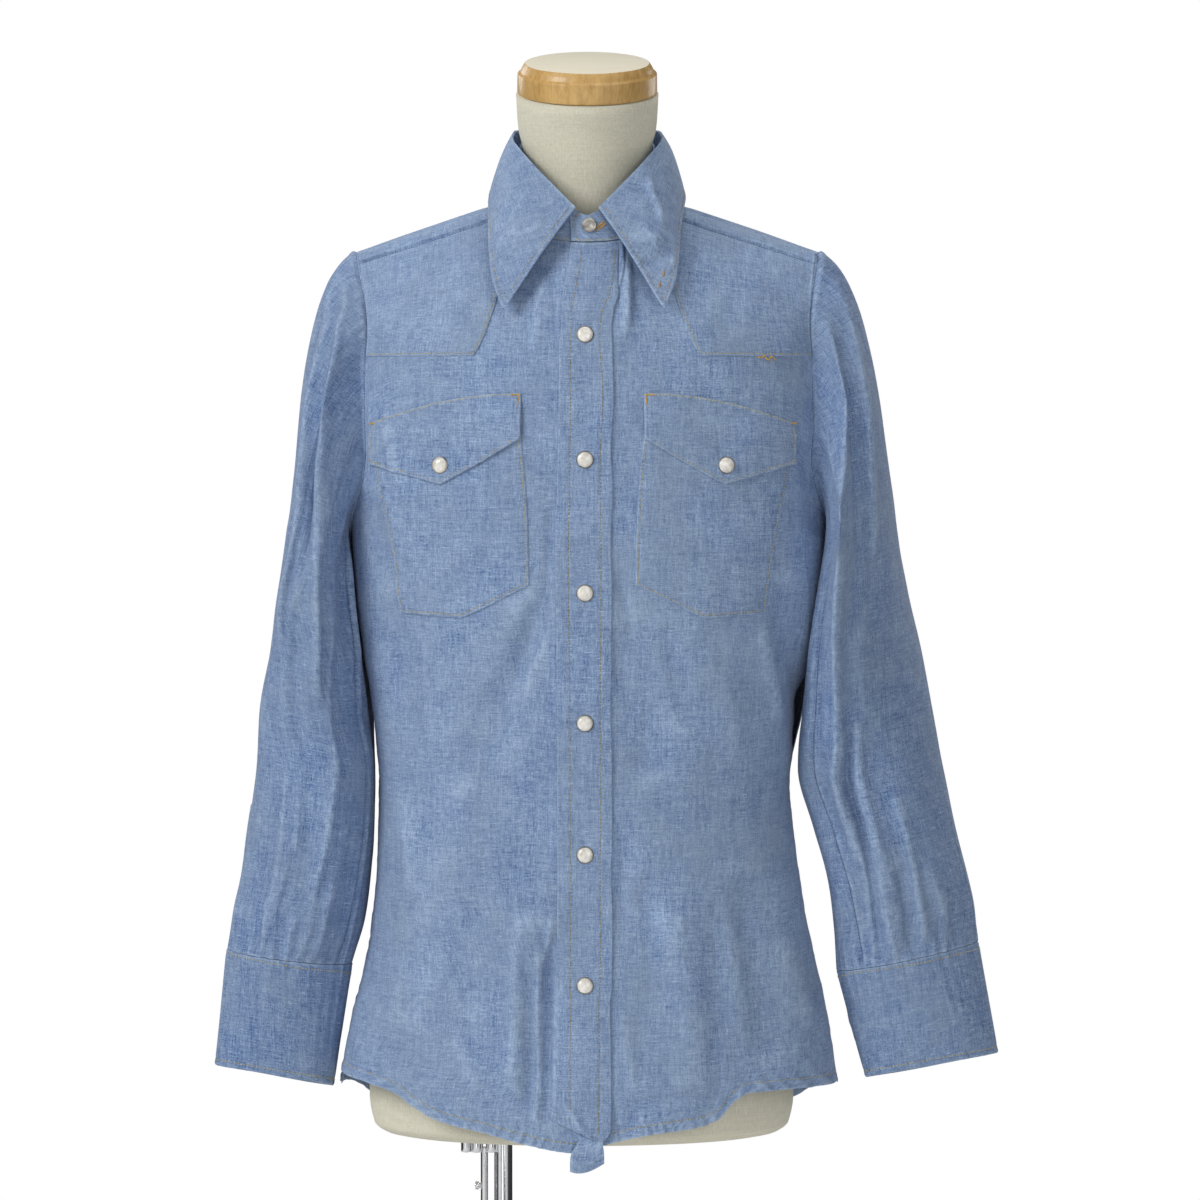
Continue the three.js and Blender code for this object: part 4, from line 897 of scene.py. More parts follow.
def build_threads():
    """One mesh of stitches for each colour of thread."""
    # Corners 0 and 1 are a stitch's ends, 2 and 3 its sides, 4 its top and 5 its underside.
    outer = [[0, 2, 4], [2, 1, 4], [1, 3, 4], [3, 0, 4]]
    inner = [[2, 0, 5], [1, 2, 5], [3, 1, 5], [0, 3, 5]]
    for kind, colours in THREADS.items():
        corners = np.concatenate(threads[kind])
        every = (np.arange(len(corners))[:, None, None] * 6 + np.array(outer + inner)).reshape(-1, 3)
        material = thread_material(f"{kind}_thread", *colours)
        made = mesh_object(f"{kind}_stitching", corners.reshape(-1, 3) / 1000, every, material)
        enter(made)


# ---------------------------------------------------------------- fronts, back and yokes

HEM_STEPS = spread(96, [0.002, 0.005, 0.009, 0.014, 0.018, 0.0205, 0.023])
ARM_LEVELS = np.linspace(UNDERARM, YOKE_RING, 34)[1:]
DOME_LEVELS = np.linspace(YOKE_RING, YOKE_TOP, 27)[1:]
HEM_BAND = 9
HEM_STITCH = 7.6
# Millimetres of a panel's edge against its share, for distances from a seam.
EDGE_REACH = 1.3
BACK_HALF = 186


def hem_height(x, above, seed):
    """The turned hem: two layers, a sewn groove, and puckers that lean along it."""
    band = 0.45 * (1 - smooth(above, HEM_BAND - 1, HEM_BAND + 0.6))
    groove = -0.6 * bell(above - HEM_BAND + 1.5, 1.1)
    pucker = 1.9 * ripple(x + 0.6 * above, seed, 9) * bell(above, 11)
    return band + groove + pucker + 0.5 * ripple(x, seed + 1, 34) * np.exp(-above / 30)


def seam_height(along, away, seed, depth=0.5):
    """Beside a seam: a shallow groove, and a row of small puckers."""
    return -depth * bell(away, 1.2) + 0.32 * ripple(along, seed, 9) * mound(away - 3, 14)


def front_panel(side, inner):
    """A front from its inner edge, at a distance from the centre line, to the side seam and armhole."""
    low = share_at(side, "front", np.array(inner), np.array(float(UNDERARM)))
    across = spread(112, [0.002, 0.006, 0.01, 0.99, 0.994, 0.998])
    hem = hem_level(side, "front", lerp(low, 1, across))
    lower = hem + (UNDERARM - hem) * HEM_STEPS[:, None]
    upper = np.concatenate([ARM_LEVELS, DOME_LEVELS])[:, None] + 0 * across
    level = np.concatenate([lower, upper])
    share = lerp(share_at(side, "front", np.full_like(level, inner), level), 1, across)
    half = half_width(side, np.minimum(level, YOKE_RING))
    away = (1 - share) * half * EDGE_REACH
    height = hem_height(half * np.sin(share * np.pi / 2), level - hem, 11 + side)
    height = height + seam_height(level, away, 21 + side) * (level < UNDERARM + 120)
    height = height + 0.5 * mound(away - 7, 30) * ripple(level, 31 + side, 26)
    return facing(side, surface(side, "front", share, level, height)[0])[0]


front_right = Cloth("front_right", front_panel(-1, 2.5), level=len(HEM_STEPS), straight=-1)
front_left = Cloth("front_left", front_panel(1, 12.0), level=len(HEM_STEPS), straight=0)

# The back's columns from its left edge to its right one, and its yoke's seam, lowest in the middle.
back_share = spread(104, low=-1)[::-1]
from_middle = np.abs(back_share)
yoke_line = 1262 - 26 * (1 - from_middle) ** 1.6


def back_grid(levels, heights):
    """The back's surface at levels for each of its columns."""
    halves = [surface(side, "back", from_middle + 0 * levels, levels, heights)[0] for side in SIDES]
    return np.where((back_share < 0)[:, None], *halves)


def back_panel():
    hem = np.where(back_share < 0, *(hem_level(side, "back", from_middle) for side in SIDES))
    lower = hem + (UNDERARM - hem) * HEM_STEPS[:, None]
    upper = UNDERARM + (yoke_line - UNDERARM) * spread(26, [0.985, 0.993])[1:, None]
    level = np.concatenate([lower, upper])
    x = back_share * BACK_HALF
    away = (1 - from_middle) * BACK_HALF * EDGE_REACH
    height = hem_height(x, level - hem, 15) + seam_height(level, away, 25) * (level < UNDERARM)
    height = height + seam_height(x, yoke_line - level, 27, 0.8)
    return back_grid(level, height)


def back_yoke():
    t = spread(52, [0.004, 0.01, 0.02, 0.992, 0.997])[:, None]
    level = yoke_line + (YOKE_TOP - yoke_line) * t**0.9
    above = level - yoke_line
    height = 0.75 * smooth(above, -0.1, 1.2) + seam_height(back_share * BACK_HALF, above - 1.5, 29, 0.3)
    return back_grid(level, height)


back = Cloth("back", back_panel(), level=len(HEM_STEPS))
yoke_back = Cloth("yoke_back", back_yoke(), FACED, level=-1)


def rounded(away, height, reach=1.3):
    """A piece's height over what it lies on, rounding down at its edge."""
    t = np.clip(away / reach, 0, 1)
    return height * np.sqrt(np.maximum(1 - (1 - t) ** 2, 0))


STITCH_GROOVE = 0.8


def stitched_edge(start, away, thick, reach, stitch, deep):
    """The same from a start, drawn in along the stitches at a distance from its edge."""
    return start + rounded(away, thick, reach) - deep * bell(away - stitch, STITCH_GROOVE)


# Each piece that lies on another has its own place in the weave, so no thread runs on from the
# cloth beneath.


def overlay(name, side, share, level, height):
    """A piece that lies on the front, of the front's own points moved out."""
    grid, _ = surface(side, "front", share, level, height)
    base, _ = surface(side, "front", share, level, np.full_like(height, 0.05))
    grid, base, flat = facing(side, grid, base, np.stack([side * (260 * share + 700), level], -1))
    return Cloth(name, grid, under=base, flat=flat)


YOKE_SEAM_ROW = 37  # the front yoke's row where the back yoke laps over it
FRONT_REACH = 270  # millimetres of a front against its share


def yoke_front(name, side):
    """Above the straight lower line, from the slanting edge by the placket to the armhole."""
    across = spread(56, [0.004, 0.009, 0.018, 0.03])
    foot = YOKE_LINE["z"]
    seam = YOKE_TOP - lerp(10, 17, across)
    below = [0, 0.004, 0.009, 0.016, 0.026, 0.04, 0.07, *np.linspace(0.1, 0.96, 26)]
    below += [0.975, 0.985, 0.991, 0.996, 1]
    above = [0.03, 0.06, 0.1, 0.15, 0.22, 0.32, 0.44, 0.58, 0.72, 0.86, 1]
    assert len(below) - 1 == YOKE_SEAM_ROW
    lower = foot + (seam - foot) * np.array(below)[:, None]
    level = np.concatenate([lower, seam + (YOKE_TOP - seam) * np.array(above)[:, None]])
    on_line = share_at(side, "front", np.array(YOKE_LINE["step"]), np.array(foot))
    inner = lerp(on_line, YOKE_LINE["neck"], (level - foot) / (YOKE_TOP - foot))
    share = lerp(inner, YOKE_LINE["edge"], across)
    away = np.minimum(level - foot, (share - inner) * FRONT_REACH)
    height = stitched_edge(0.1, away, 1.5, 0.8, stitch=1.7, deep=0.45)
    height = height + 0.3 * ripple(share * FRONT_REACH + level, 41 + side, 8) * mound(away - 2, 12)
    # Along the shoulder the back yoke laps over this one.
    over = level - seam
    height = height + 1.7 * smooth(over, 0, 0.9) - 1.3 * bell(over + 0.9, 0.9)
    height = height - 1.7 * smooth(level, YOKE_TOP - 6, YOKE_TOP)
    height = height + 0.3 * ripple(share * 200, 45 + side, 9) * bell(over, 5)
    return overlay(name, side, share, level, np.maximum(height, 0.2))


yoke_fronts = {side: yoke_front(f"yoke_front_{NAMES[side]}", side) for side in SIDES}

# ---------------------------------------------------------------- placket, pockets and flaps

# The placket's edges and stitch lines wander: x at each level, left and right as seen from ahead.
PLACKET_LINES = table(
    "z left right left_stitch right_stitch",
    """
    690 -22.4 17.6 -12.6 8.6; 735 -22.6 18.6 -12.9 8.9; 770 -22.4 18.2 -12.6 9.2;
    800 -22.2 17.7 -12.2 8.8; 815 -22.6 18.9 -12.6 9.6; 860 -22.8 19.4 -12.4 10.2;
    900 -22.4 18.4 -12.1 9.6; 925 -22.6 19.2 -12.6 10; 1000 -22.9 19 -12.8 10.3;
    1012 -22.8 18.2 -12.9 9.6; 1090 -23.4 18.8 -13.6 10.2; 1155 -23.6 18.2 -14 10.4;
    1190 -22.6 19.6 -13.2 9.6; 1215 -21.8 18.2 -12.8 9.9; 1262 -21.4 20.2 -12.2 11.8;
    1300 -20.8 19.2 -12.6 9.4; 1325 -20.2 20.4 -11.8 11.2; 1345 -17.4 23.2 -8.6 16;
    1375 -12.8 25.4 -4.6 18.2; 1400 -12 26 -3.6 18.8
    """,
)


def dimple(x, z, centre_x, centre_z, reach=8.5):
    """The cloth drawn in round a snap, with a few short pleats out of it."""
    away = np.hypot(x - centre_x, z - centre_z)
    turn = np.arctan2(z - centre_z, x - centre_x)
    rays = 0.3 * np.sin(5 * turn + centre_z) * bell(away - 9, 5)
    return rays - 0.5 * bell(away, reach)


def placket_piece():
    across = spread(34, [0.006, 0.014, 0.026, 0.04, 0.974, 0.986, 0.994])
    t = spread(250, [0.0008, 0.0016, 0.0026])[:, None]
    # The lower end rounds up to its left and right corners.
    low = 697 + 15 * (1 - across) ** 1.5 + 9 * np.clip((across - 0.8) / 0.2, 0, 1) ** 2
    z = low + (PLACKET_TOP - low) * t
    lines = through(PLACKET_LINES, "z", z)
    x = lerp(lines["left"], lines["right"], across)
    away = np.minimum(np.minimum(x - lines["left"], lines["right"] - x), z - low)
    height = 0.2 + rounded(away, 1.9, 0.9)
    for name, seed in (("left_stitch", 51), ("right_stitch", 53)):
        beside = x - lines[name]
        height = height - 0.35 * bell(beside, 0.9)
        height = height + 0.3 * ripple(z + 0.4 * x, seed, 9) * bell(beside, 5)
    height = height + 0.45 * ripple(z, 57, 30) * smooth(np.abs(x), 8, 20)
    for level in SNAP_LEVELS:
        height = height + dimple(x, z, SNAP_X, level)
    height = height + 3.0 * mound(x - (-14 + (722 - z) * 0.75), 9) * smooth(z, 732, 716)
    height = height + 2.6 * smooth(z, 735, 700) * (0.35 + 0.65 * across)
    grid, _ = front(x, z, np.maximum(height, 0.25))
    base, _ = front(x, z, np.full_like(x, 0.1) + 1.6 * smooth(z, 735, 700))
    return Cloth("placket", grid, under=base, flat=np.stack([x + 300, z + 0 * x], -1))


def stand_piece():
    """The button stand under the placket; its end hangs below it, twisted and turned up."""
    across = spread(22, [0.02, 0.05, 0.95, 0.98])
    t = spread(150, [0.002, 0.005, 0.009, 0.014, 0.02])[:, None]
    low = 671 + 10.5 * across**1.6 + 4.5 * (1 - across) ** 3
    z = low + (PLACKET_TOP + 1 - low) * t
    loose = smooth(z, 712, 690)
    left, right = lerp(-17, -12.8, loose), lerp(14, 12.9, loose)
    x = lerp(left, right, across) - 3.0 * smooth(z, 706, 697) * (1 - loose) * (across - 0.5)
    waist = bell(z - 700, 7)
    x = x + waist * (8.5 * (1 - across) - 1.5 * across)
    away = np.minimum(np.minimum(x - left, right - x), z - low)
    height = -1.3 + 3.2 * loose + rounded(np.abs(away), 1.0, 1.3) * loose
    height = height + 1.3 * loose * bell(z - low - 6.5, 1.3) + 1.8 * waist * (0.3 + across)
    grid, normal = front(x, z, height)
    return Cloth("button_stand", grid, under=grid - normal * 1.0)


def breast(side, x):
    """A pocket's or flap's x from its distance from the centre line."""
    return side * (x + POCKET_SHIFT[side])


def on_front(name, side, x, z, height, under):
    """A pocket or flap, from the heights of its faces over the front."""
    grid, _ = front(x, z, height)
    base, _ = front(x, z, under + 0 * x)
    grid, base, flat = facing(side, grid, base, np.stack([x + 900 * side, z + 0.02 * x], -1))
    return Cloth(name, grid, under=base, flat=flat)


def pocket_piece(side):
    across = spread(44, [0.006, 0.013, 0.024, 0.976, 0.987, 0.994])
    up = spread(48, [0.004, 0.01, 0.018])[:, None]
    # The bottom is two nearly straight lines that meet at a blunt point.
    x = lerp(40, 139.5, across)
    curved, straight = through(POCKET_BOTTOM, "x", x)["z"], np.interp(x, *POCKET_BOTTOM.values())
    low = lerp(curved, straight, 0.7)
    z = low + (POCKET_TOP - low) * up
    left, right = through(POCKET_INNER, "z", z)["x"], through(POCKET_OUTER, "z", z)["x"]
    x = lerp(left, right, across)
    away = np.minimum(np.minimum(x - left, right - x), z - low)
    height = stitched_edge(0.12, away, 1.5, 0.8, stitch=2.0, deep=0.45)
    height = height + 0.3 * ripple(x + 1.3 * z, 61 + side, 8) * bell(away, 5)
    height = height + 0.9 * np.sin(np.pi * across) * np.sin(np.pi * np.clip(up, 0, 1))
    height = height + 0.3 * bumps(x, z, 63 + side, 40)
    height = height + 0.5 * mound(z - 1196 + 0.12 * x, 8) * bell(x - 52, 14) * side
    return on_front(f"pocket_{NAMES[side]}", side, breast(side, x), z, height, 0.02)


def flap_lines(c):
    """The flap's upper and lower edge, (x, z) each, at shares of its width."""
    index = c * 5
    rows = np.arange(6)
    top = [np.interp(index, rows, FLAP_TOP[k]) for k in "xz"]
    low = [np.interp(index, rows, FLAP_BOTTOM[k]) for k in "xz"]
    return top, low


def flap_piece(side):
    c = spread(60, [0.006, 0.013, 0.024, 0.6, 0.976, 0.987, 0.994])
    up = spread(26, [0.01, 0.022, 0.04, 0.97, 0.985])[:, None]
    top, low = flap_lines(c)
    x, z = lerp(low[0], top[0], up), lerp(low[1], top[1], up)
    deep = top[1] - low[1]
    away = np.minimum(np.minimum(c * 115, (1 - c) * 115) + 0 * up, up * deep * 0.92)
    base = lerp(2.3, 0.15, smooth(up, 0.66, 0.9)) + 1.0 * (1 - up) ** 2.5
    height = stitched_edge(base + 0.3, away, 1.1, 0.9, stitch=2.6, deep=0.4)
    height = height + 0.28 * ripple(x + z, 71 + side, 8) * mound(away - 2, 10)
    snap_x, snap_z = POCKET_SNAP[side]
    place = breast(side, x)
    height = height + dimple(place, z, snap_x, snap_z, 7)
    slit = bell(place - snap_x + 6 * side + (z - 1222) * 0.12 * side, 0.8)
    slit = slit * smooth(z, 1210, 1216) * (1 - smooth(z, 1230, 1237))
    height = height - (0.9 if side < 0 else 0.5) * slit
    height = np.maximum(height + 0.35 * bumps(x, z, 73 + side, 36), base + 0.15)
    return on_front(f"flap_{NAMES[side]}", side, place, z, height, base)


placket = placket_piece()
button_stand = stand_piece()
pockets = {side: pocket_piece(side) for side in SIDES}
flaps = {side: flap_piece(side) for side in SIDES}

# ---------------------------------------------------------------- sleeves and cuffs

# The armhole's levels against the angle round the sleeve, up its front and down its back.
FRONT_EDGE = (
    np.linspace(-np.pi, 0, 13),
    (1150, 1156, 1167, 1184, 1206, 1232, 1264, 1300, 1320, 1340, 1360, 1380, 1400),
)
back_levels = [UNDERARM + 112 * t for t in (0, 0.05, 0.16, 0.32, 0.55, 0.78)]
back_levels += [1262 + 138 * (i / 7) ** 0.9 for i in range(8)]
BACK_EDGE = (np.linspace(0, np.pi, 14), back_levels[::-1])
# Angles round a sleeve start at its outer side; the front is at -90 degrees.
SLEEVE_ANGLES = np.linspace(-np.pi, np.pi, 217)[:-1]
SEAM_ANGLES = {-1: math.radians(-150), 1: math.radians(-121)}


def outwards(side, angle):
    return points(side * np.cos(angle), np.sin(angle), 0 * angle)


def section_point(side, section, angle, z):
    """A point of a sleeve's or cuff's ring."""
    middle = (section["outer"] + section["inner"]) / 2
    half = (section["outer"] - section["inner"]) / 2
    depth = (section["front"] + section["back"]) / 2
    x = middle + half * np.cos(angle + np.arcsin(section["lean"]))
    y = (section["back"] - section["front"]) / 2 + depth * np.sin(angle)
    return points(side * x, y, z - section["drop"] * (middle - x) / half / 2)


def sleeve_fold(side, angle, z):
    """The height of a sleeve's folds, ridges, underarm seam and gathers over its rings."""
    height = np.zeros(np.broadcast(angle, z).shape)
    for middle, turn, z1, z2, width, rise in zip(*SLEEVE_FOLDS[side].values()):
        along = (z1 - z) / (z1 - z2)
        off = angle - np.radians(middle + turn * np.clip(along, 0, 1))
        shape = bell(ARM * np.sin(off), width) * (np.cos(off) > 0)
        taper = 1 - (2 * np.clip(along, 0, 1) - 1) ** 4
        height = height + np.where((along > 0) & (along < 1), SLEEVE_DEPTH * rise * taper * shape, 0)
    for width, rise, steep, *line in SLEEVE_LINES[side]:
        line = np.array(line[::-1], float)
        off = angle - np.radians(np.interp(z, line[:, 0], line[:, 1]))
        across = ARM * np.sin(off)
        shape = bell(across, np.where(across < 0, width * steep, width)) * (np.cos(off) > 0)
        along = (z - line[0, 0]) / (line[-1, 0] - line[0, 0])
        taper = 1 - (2 * np.clip(along, 0, 1) - 1) ** 6
        height = height + LINE_DEPTH * rise * taper * shape
    round_ = angle * ARM
    height = height + 0.55 * bumps(round_, z, 81 + side, 60) + 0.15 * bumps(round_, z, 83 + side, 20)
    off = ARM * np.sin(angle - SEAM_ANGLES[side])
    near = np.cos(angle - SEAM_ANGLES[side]) > 0
    seam = bell(off, 1.3) * near
    beside = mound(off - 3.5 * side, 6) * near
    height = height - 2.2 * seam + 1.0 * beside * (1 + 0.5 * ripple(z, 85 + side, 9))
    gathers = bell(z - SLEEVE_LOW, 16) * 1.5 * ripple(round_, 87 + side, 11)
    return height + gathers


def clear_of_body(place, gap):
    """Moves a sleeve's points out to where its cloth lies beside the body's."""
    x, y, z = place[..., 0], place[..., 1], place[..., 2]
    section = through(BODY, "z", z)
    half = np.where(x < 0, section["right"], section["left"])
    deep = np.where(y < 0, section["front"], section["back"])
    power = section["power"]
    reach = (np.abs(x / half) ** power + np.abs(y / deep) ** power) ** (1 / power)
    radius = np.hypot(x, y)
    short = np.maximum(radius / reach + gap - radius, 0) * (1 - smooth(z, UNDERARM, UNDERARM + 12))
    return place + unit(place * (1, 1, 0)) * short[..., None]


def tube_point(side, angle, z):
    """A point of the sleeve below its head."""
    point = section_point(side, through(SLEEVES[side], "z", z), angle, z)
    return clear_of_body(point + outwards(side, angle) * sleeve_fold(side, angle, z)[..., None], BESIDE)


def armhole(side):
    """Where a sleeve's columns meet the body, up its front and down its back."""
    both = []
    for face, edge in (("front", FRONT_EDGE), ("back", BACK_EDGE)):
        level = np.interp(SLEEVE_ANGLES, *edge)
        both.append(body_point(side, face, np.ones_like(level), level))
    return np.where((SLEEVE_ANGLES <= 0)[:, None], *both)


def sleeve_piece(side):
    """Rings up to the elbow, then a head that runs on from them into the armhole."""
    angle = SLEEVE_ANGLES
    border = SLEEVE_LOW + np.array([0, 0.6, 1.4, 2.6])
    levels = np.concatenate([border, np.linspace(SLEEVE_LOW + 4, ELBOW, 76)])[:, None]
    tube = tube_point(side, angle + 0 * levels, levels + 0 * angle)
    t = np.concatenate([np.linspace(0, 0.97, 60)[1:], [0.978, 0.986, 0.993, 1.0]])[:, None]
    outness = (1 + np.cos(angle)) / 2
    away = unit(points(side + 0 * angle, 0.45 * np.sin(angle), 0.2 - 0.4 * outness))
    start = armhole(side) - away * 0.5
    foot, above = (tube_point(side, angle, np.full_like(angle, z)) for z in (ELBOW, ELBOW + 10.0))
    upwards = unit(above - foot)
    rise = np.linalg.norm(start - foot, axis=-1, keepdims=True)
    pull = lerp(TUCK_PULL, CAP_PULL, outness)[:, None]
    head = hermite(foot, upwards * rise, start, -away * pull, t + 0 * angle)
    detail = head_detail(side, angle + 0 * t, t + 0 * angle, head[..., 2])
    head = head + unit(head - (side * 150, 0, 1180)) * detail[..., None]
    head = clear_of_body(head, BESIDE * (1 - smooth(t, 0.85, 1)))
    return Cloth(f"sleeve_{NAMES[side]}", *facing(side, np.concatenate([tube, head])), closed=True)


def head_detail(side, angle, t, z):
    """The head's own folds, fading out at the elbow, and the roll of its seam at the armhole."""
    last = sleeve_fold(side, angle, np.full_like(z, float(ELBOW)))
    here = sleeve_fold(side, angle, z) - last * (1 + t * t * (2 * t - 3))
    seam = 2.0 * bell(t - 0.965, 0.018) + 0.9 * ripple(angle * 90, 91 + side, 11) * bell(t - 0.95, 0.05)
    return here * (1 - smooth(t, 0.93, 1)) + seam * (1 - smooth(t, 0.985, 1))


def cuff_piece(side, sleeve):
    """From the free edge's ring up to the sleeve's lower edge."""
    angle = SLEEVE_ANGLES
    every = {key: np.full_like(angle, float(value)) for key, value in CUFFS[side].items()}
    # The free edge is squarer than an ellipse.
    across, along = (np.sign(v) * np.abs(v) ** 0.78 for v in (np.cos(angle), np.sin(angle)))
    bulge = np.hypot(along, across)
    free = section_point(side, every, np.arctan2(along, across), every["z"])
    centre = free.mean(0)
    free[:, :2] = centre[:2] + (free[:, :2] - centre[:2]) * bulge[:, None]
    behind = 2.2 * np.clip(np.sin(angle), 0, 1) * (1 - np.cos(angle)) / 2
    free[:, 2] -= 0.12 * (free[:, 1] - centre[1]) + behind
    # The upper edge evens out half of the sleeve's gathers.
    edge = sleeve.grid[0] if side > 0 else sleeve.grid[0][::-1]
    low = np.full_like(angle, float(SLEEVE_LOW))
    plain = section_point(side, through(SLEEVES[side], "z", low), angle, low)
    top = lerp(plain, edge, 0.5) + (0, 0, -0.4)
    t = spread(34, [0.004, 0.01, 0.018, 0.03, 0.97, 0.985, 0.994])[:, None]
    grid = lerp(free, top, t[..., None])
    up = t * CUFF_DEEP + 0 * angle
    down = CUFF_DEEP - up
    arc = angle * WRIST + 0 * t
    height = 0.9 * np.sqrt(np.clip(up / 1.6, 0, 1)) * np.sqrt(np.clip(down / 1.2, 0, 1))
    height = height - 0.35 * bell(up - 5, 0.9) - 0.3 * bell(up - CUFF_DEEP + 2.2, 0.9)
    height = height + 0.4 * ripple(arc + 0.7 * up, 101 + side, 8) * mound(up - 3, 16)
    height = height + 0.4 * ripple(arc, 103 + side, 9) * mound(down, 40)
    height = height + 0.5 * bumps(arc, up, 105 + side, 50)
    if side < 0:
        middle = math.radians(-97)
        crease = mound(WRIST * np.sin(angle - middle), 5) * (np.sin(angle) < 0) * smooth(t, 0.72, 0.95)
        height = height - 1.5 * crease
    else:
        # The inner edge is folded along a slanting line.
        line = np.radians(lerp(-142, -182, t / 0.62))
        lower = 1 - smooth(t, 0.5, 0.66)
        height = height - 2.2 * mound(WRIST * np.sin(angle - line), 2.2) * (np.sin(angle) < 0.1) * lower
        raised = 0.9 * smooth(WRIST * (angle - line), 0, 1.6) * (angle < -0.6)
        height = height + raised * lower * smooth(angle, -0.7, -1.6)
    grid = grid + unit(outwards(side, angle)) * height[..., None]
    return Cloth(f"cuff_{NAMES[side]}", *facing(side, grid), FACED, closed=True)


def sleeve_placket_piece(side):
    angle = np.radians(spread(14, [0.02, 0.05, 0.95, 0.98], 55.4, 83))
    z = np.concatenate([np.linspace(830, 940, 40), [942, 943.4, 944.4, 945]])[:, None]
    sideways = np.minimum(angle - angle[0], angle[-1] - angle) * 46
    away = np.minimum(sideways, z[-1] - z)
    height = stitched_edge(0.2, away, 0.9, 1.2, stitch=2, deep=0.3)
    point = tube_point(side, angle + 0 * z, z + 0 * angle)
    out = unit(outwards(side, angle))
    grid, base = facing(side, point + out * height[..., None], point + out * 0.05)
    return Cloth(f"sleeve_placket_{NAMES[side]}", grid, under=base)


sleeves = {side: sleeve_piece(side) for side in SIDES}
cuffs = {side: cuff_piece(side, sleeves[side]) for side in SIDES}
sleeve_plackets = {side: sleeve_placket_piece(side) for side in SIDES}

# ---------------------------------------------------------------- collar


def neckline(turn):
    """Points of the neckline at degrees round from the front, by the wearer's left."""
    side = np.where(turn < 180, 1, -1)
    around = np.where(turn < 180, turn, 360 - turn)
    ahead = top_point(1, "front", NECK_SHARE * around / 90)
    behind = top_point(1, "back", NECK_SHARE * (180 - around) / 90)
    point = np.where((around < 90)[:, None], ahead, behind)
    return point * np.stack([side, 1 + 0 * side, 1 + 0 * side], -1)


def collar_stand_piece():
    # All round, from 10 degrees before the front to 8 degrees past it, where the ends lap.
    angle = spread(150, [0.004, 0.01, 0.018, 0.99, 0.996]) * (360 + 8 + 10) - 10
    turn = (angle + 360) % 360
    foot = neckline(turn)
    top = through(STAND_TOP, "angle", np.where(turn < 180, turn, 360 - turn))
    radians_ = np.radians(turn)
    over = points(top["radius"] * np.sin(radians_), -top["radius"] * np.cos(radians_), top["z"])
    # The front ends' top corners round off.
    corner = smooth(angle, -1, -10) + smooth(angle, 361, 368)
    over[:, 2] -= 3.2 * corner
    foot[:, 2] += 0.5
    outer = 2.2 * (1 - smooth(angle, 0, 40)) + 0.3
    up = spread(14, [0.01, 0.03, 0.06, 0.94, 0.97])[:, None, None]
    grid = foot + (over - foot) * up
    out = unit(grid * (1, 1, 0))
    along = np.cumsum(np.linalg.norm(np.diff(foot, axis=0, prepend=foot[:1]), axis=1))
    rise = up[..., 0] * 22
    height = outer + 0.35 * ripple(along + rise, 111, 10) * mound(rise - 2, 20)
    height = height - 0.3 * bell(rise - 2.4, 1)
    return Cloth("collar_stand", grid + out * height[..., None], FACED)


# Creases of the collar leaf by shares, from (t1, u1) to (t2, u2): t round from the front edge,
# and u up from the free edge.
LEAF_CREASES = {
    1: table(
        "t1 u1 t2 u2 width height",
        """
        0.05 0.62 0.2 0.28 0.016 1.3; 0.02 0.42 0.17 0.12 0.016 -1.1; 0.3 0.85 0.24 0.35 0.016 1.3;
        0.1 0.25 0.2 0.02 0.014 0.8; 0.2 0.95 0.33 0.5 0.012 -1; 0.13 0.6 0.15 0.3 0.01 0.7
        """,
    ),
    -1: table(
        "t1 u1 t2 u2 width height",
        """
        0.08 0.7 0.16 0.35 0.024 0.8; 0.3 0.7 0.26 0.2 0.02 -0.9; 0.18 0.5 0.22 0.12 0.016 0.7;
        0.12 0.55 0.1 0.2 0.012 -0.6
        """,
    ),
}
LEAF_SHAPE = 0.35  # the leaf's depth over half its length
LEAF_STITCH = 5.0  # its stitches' distance from the edge


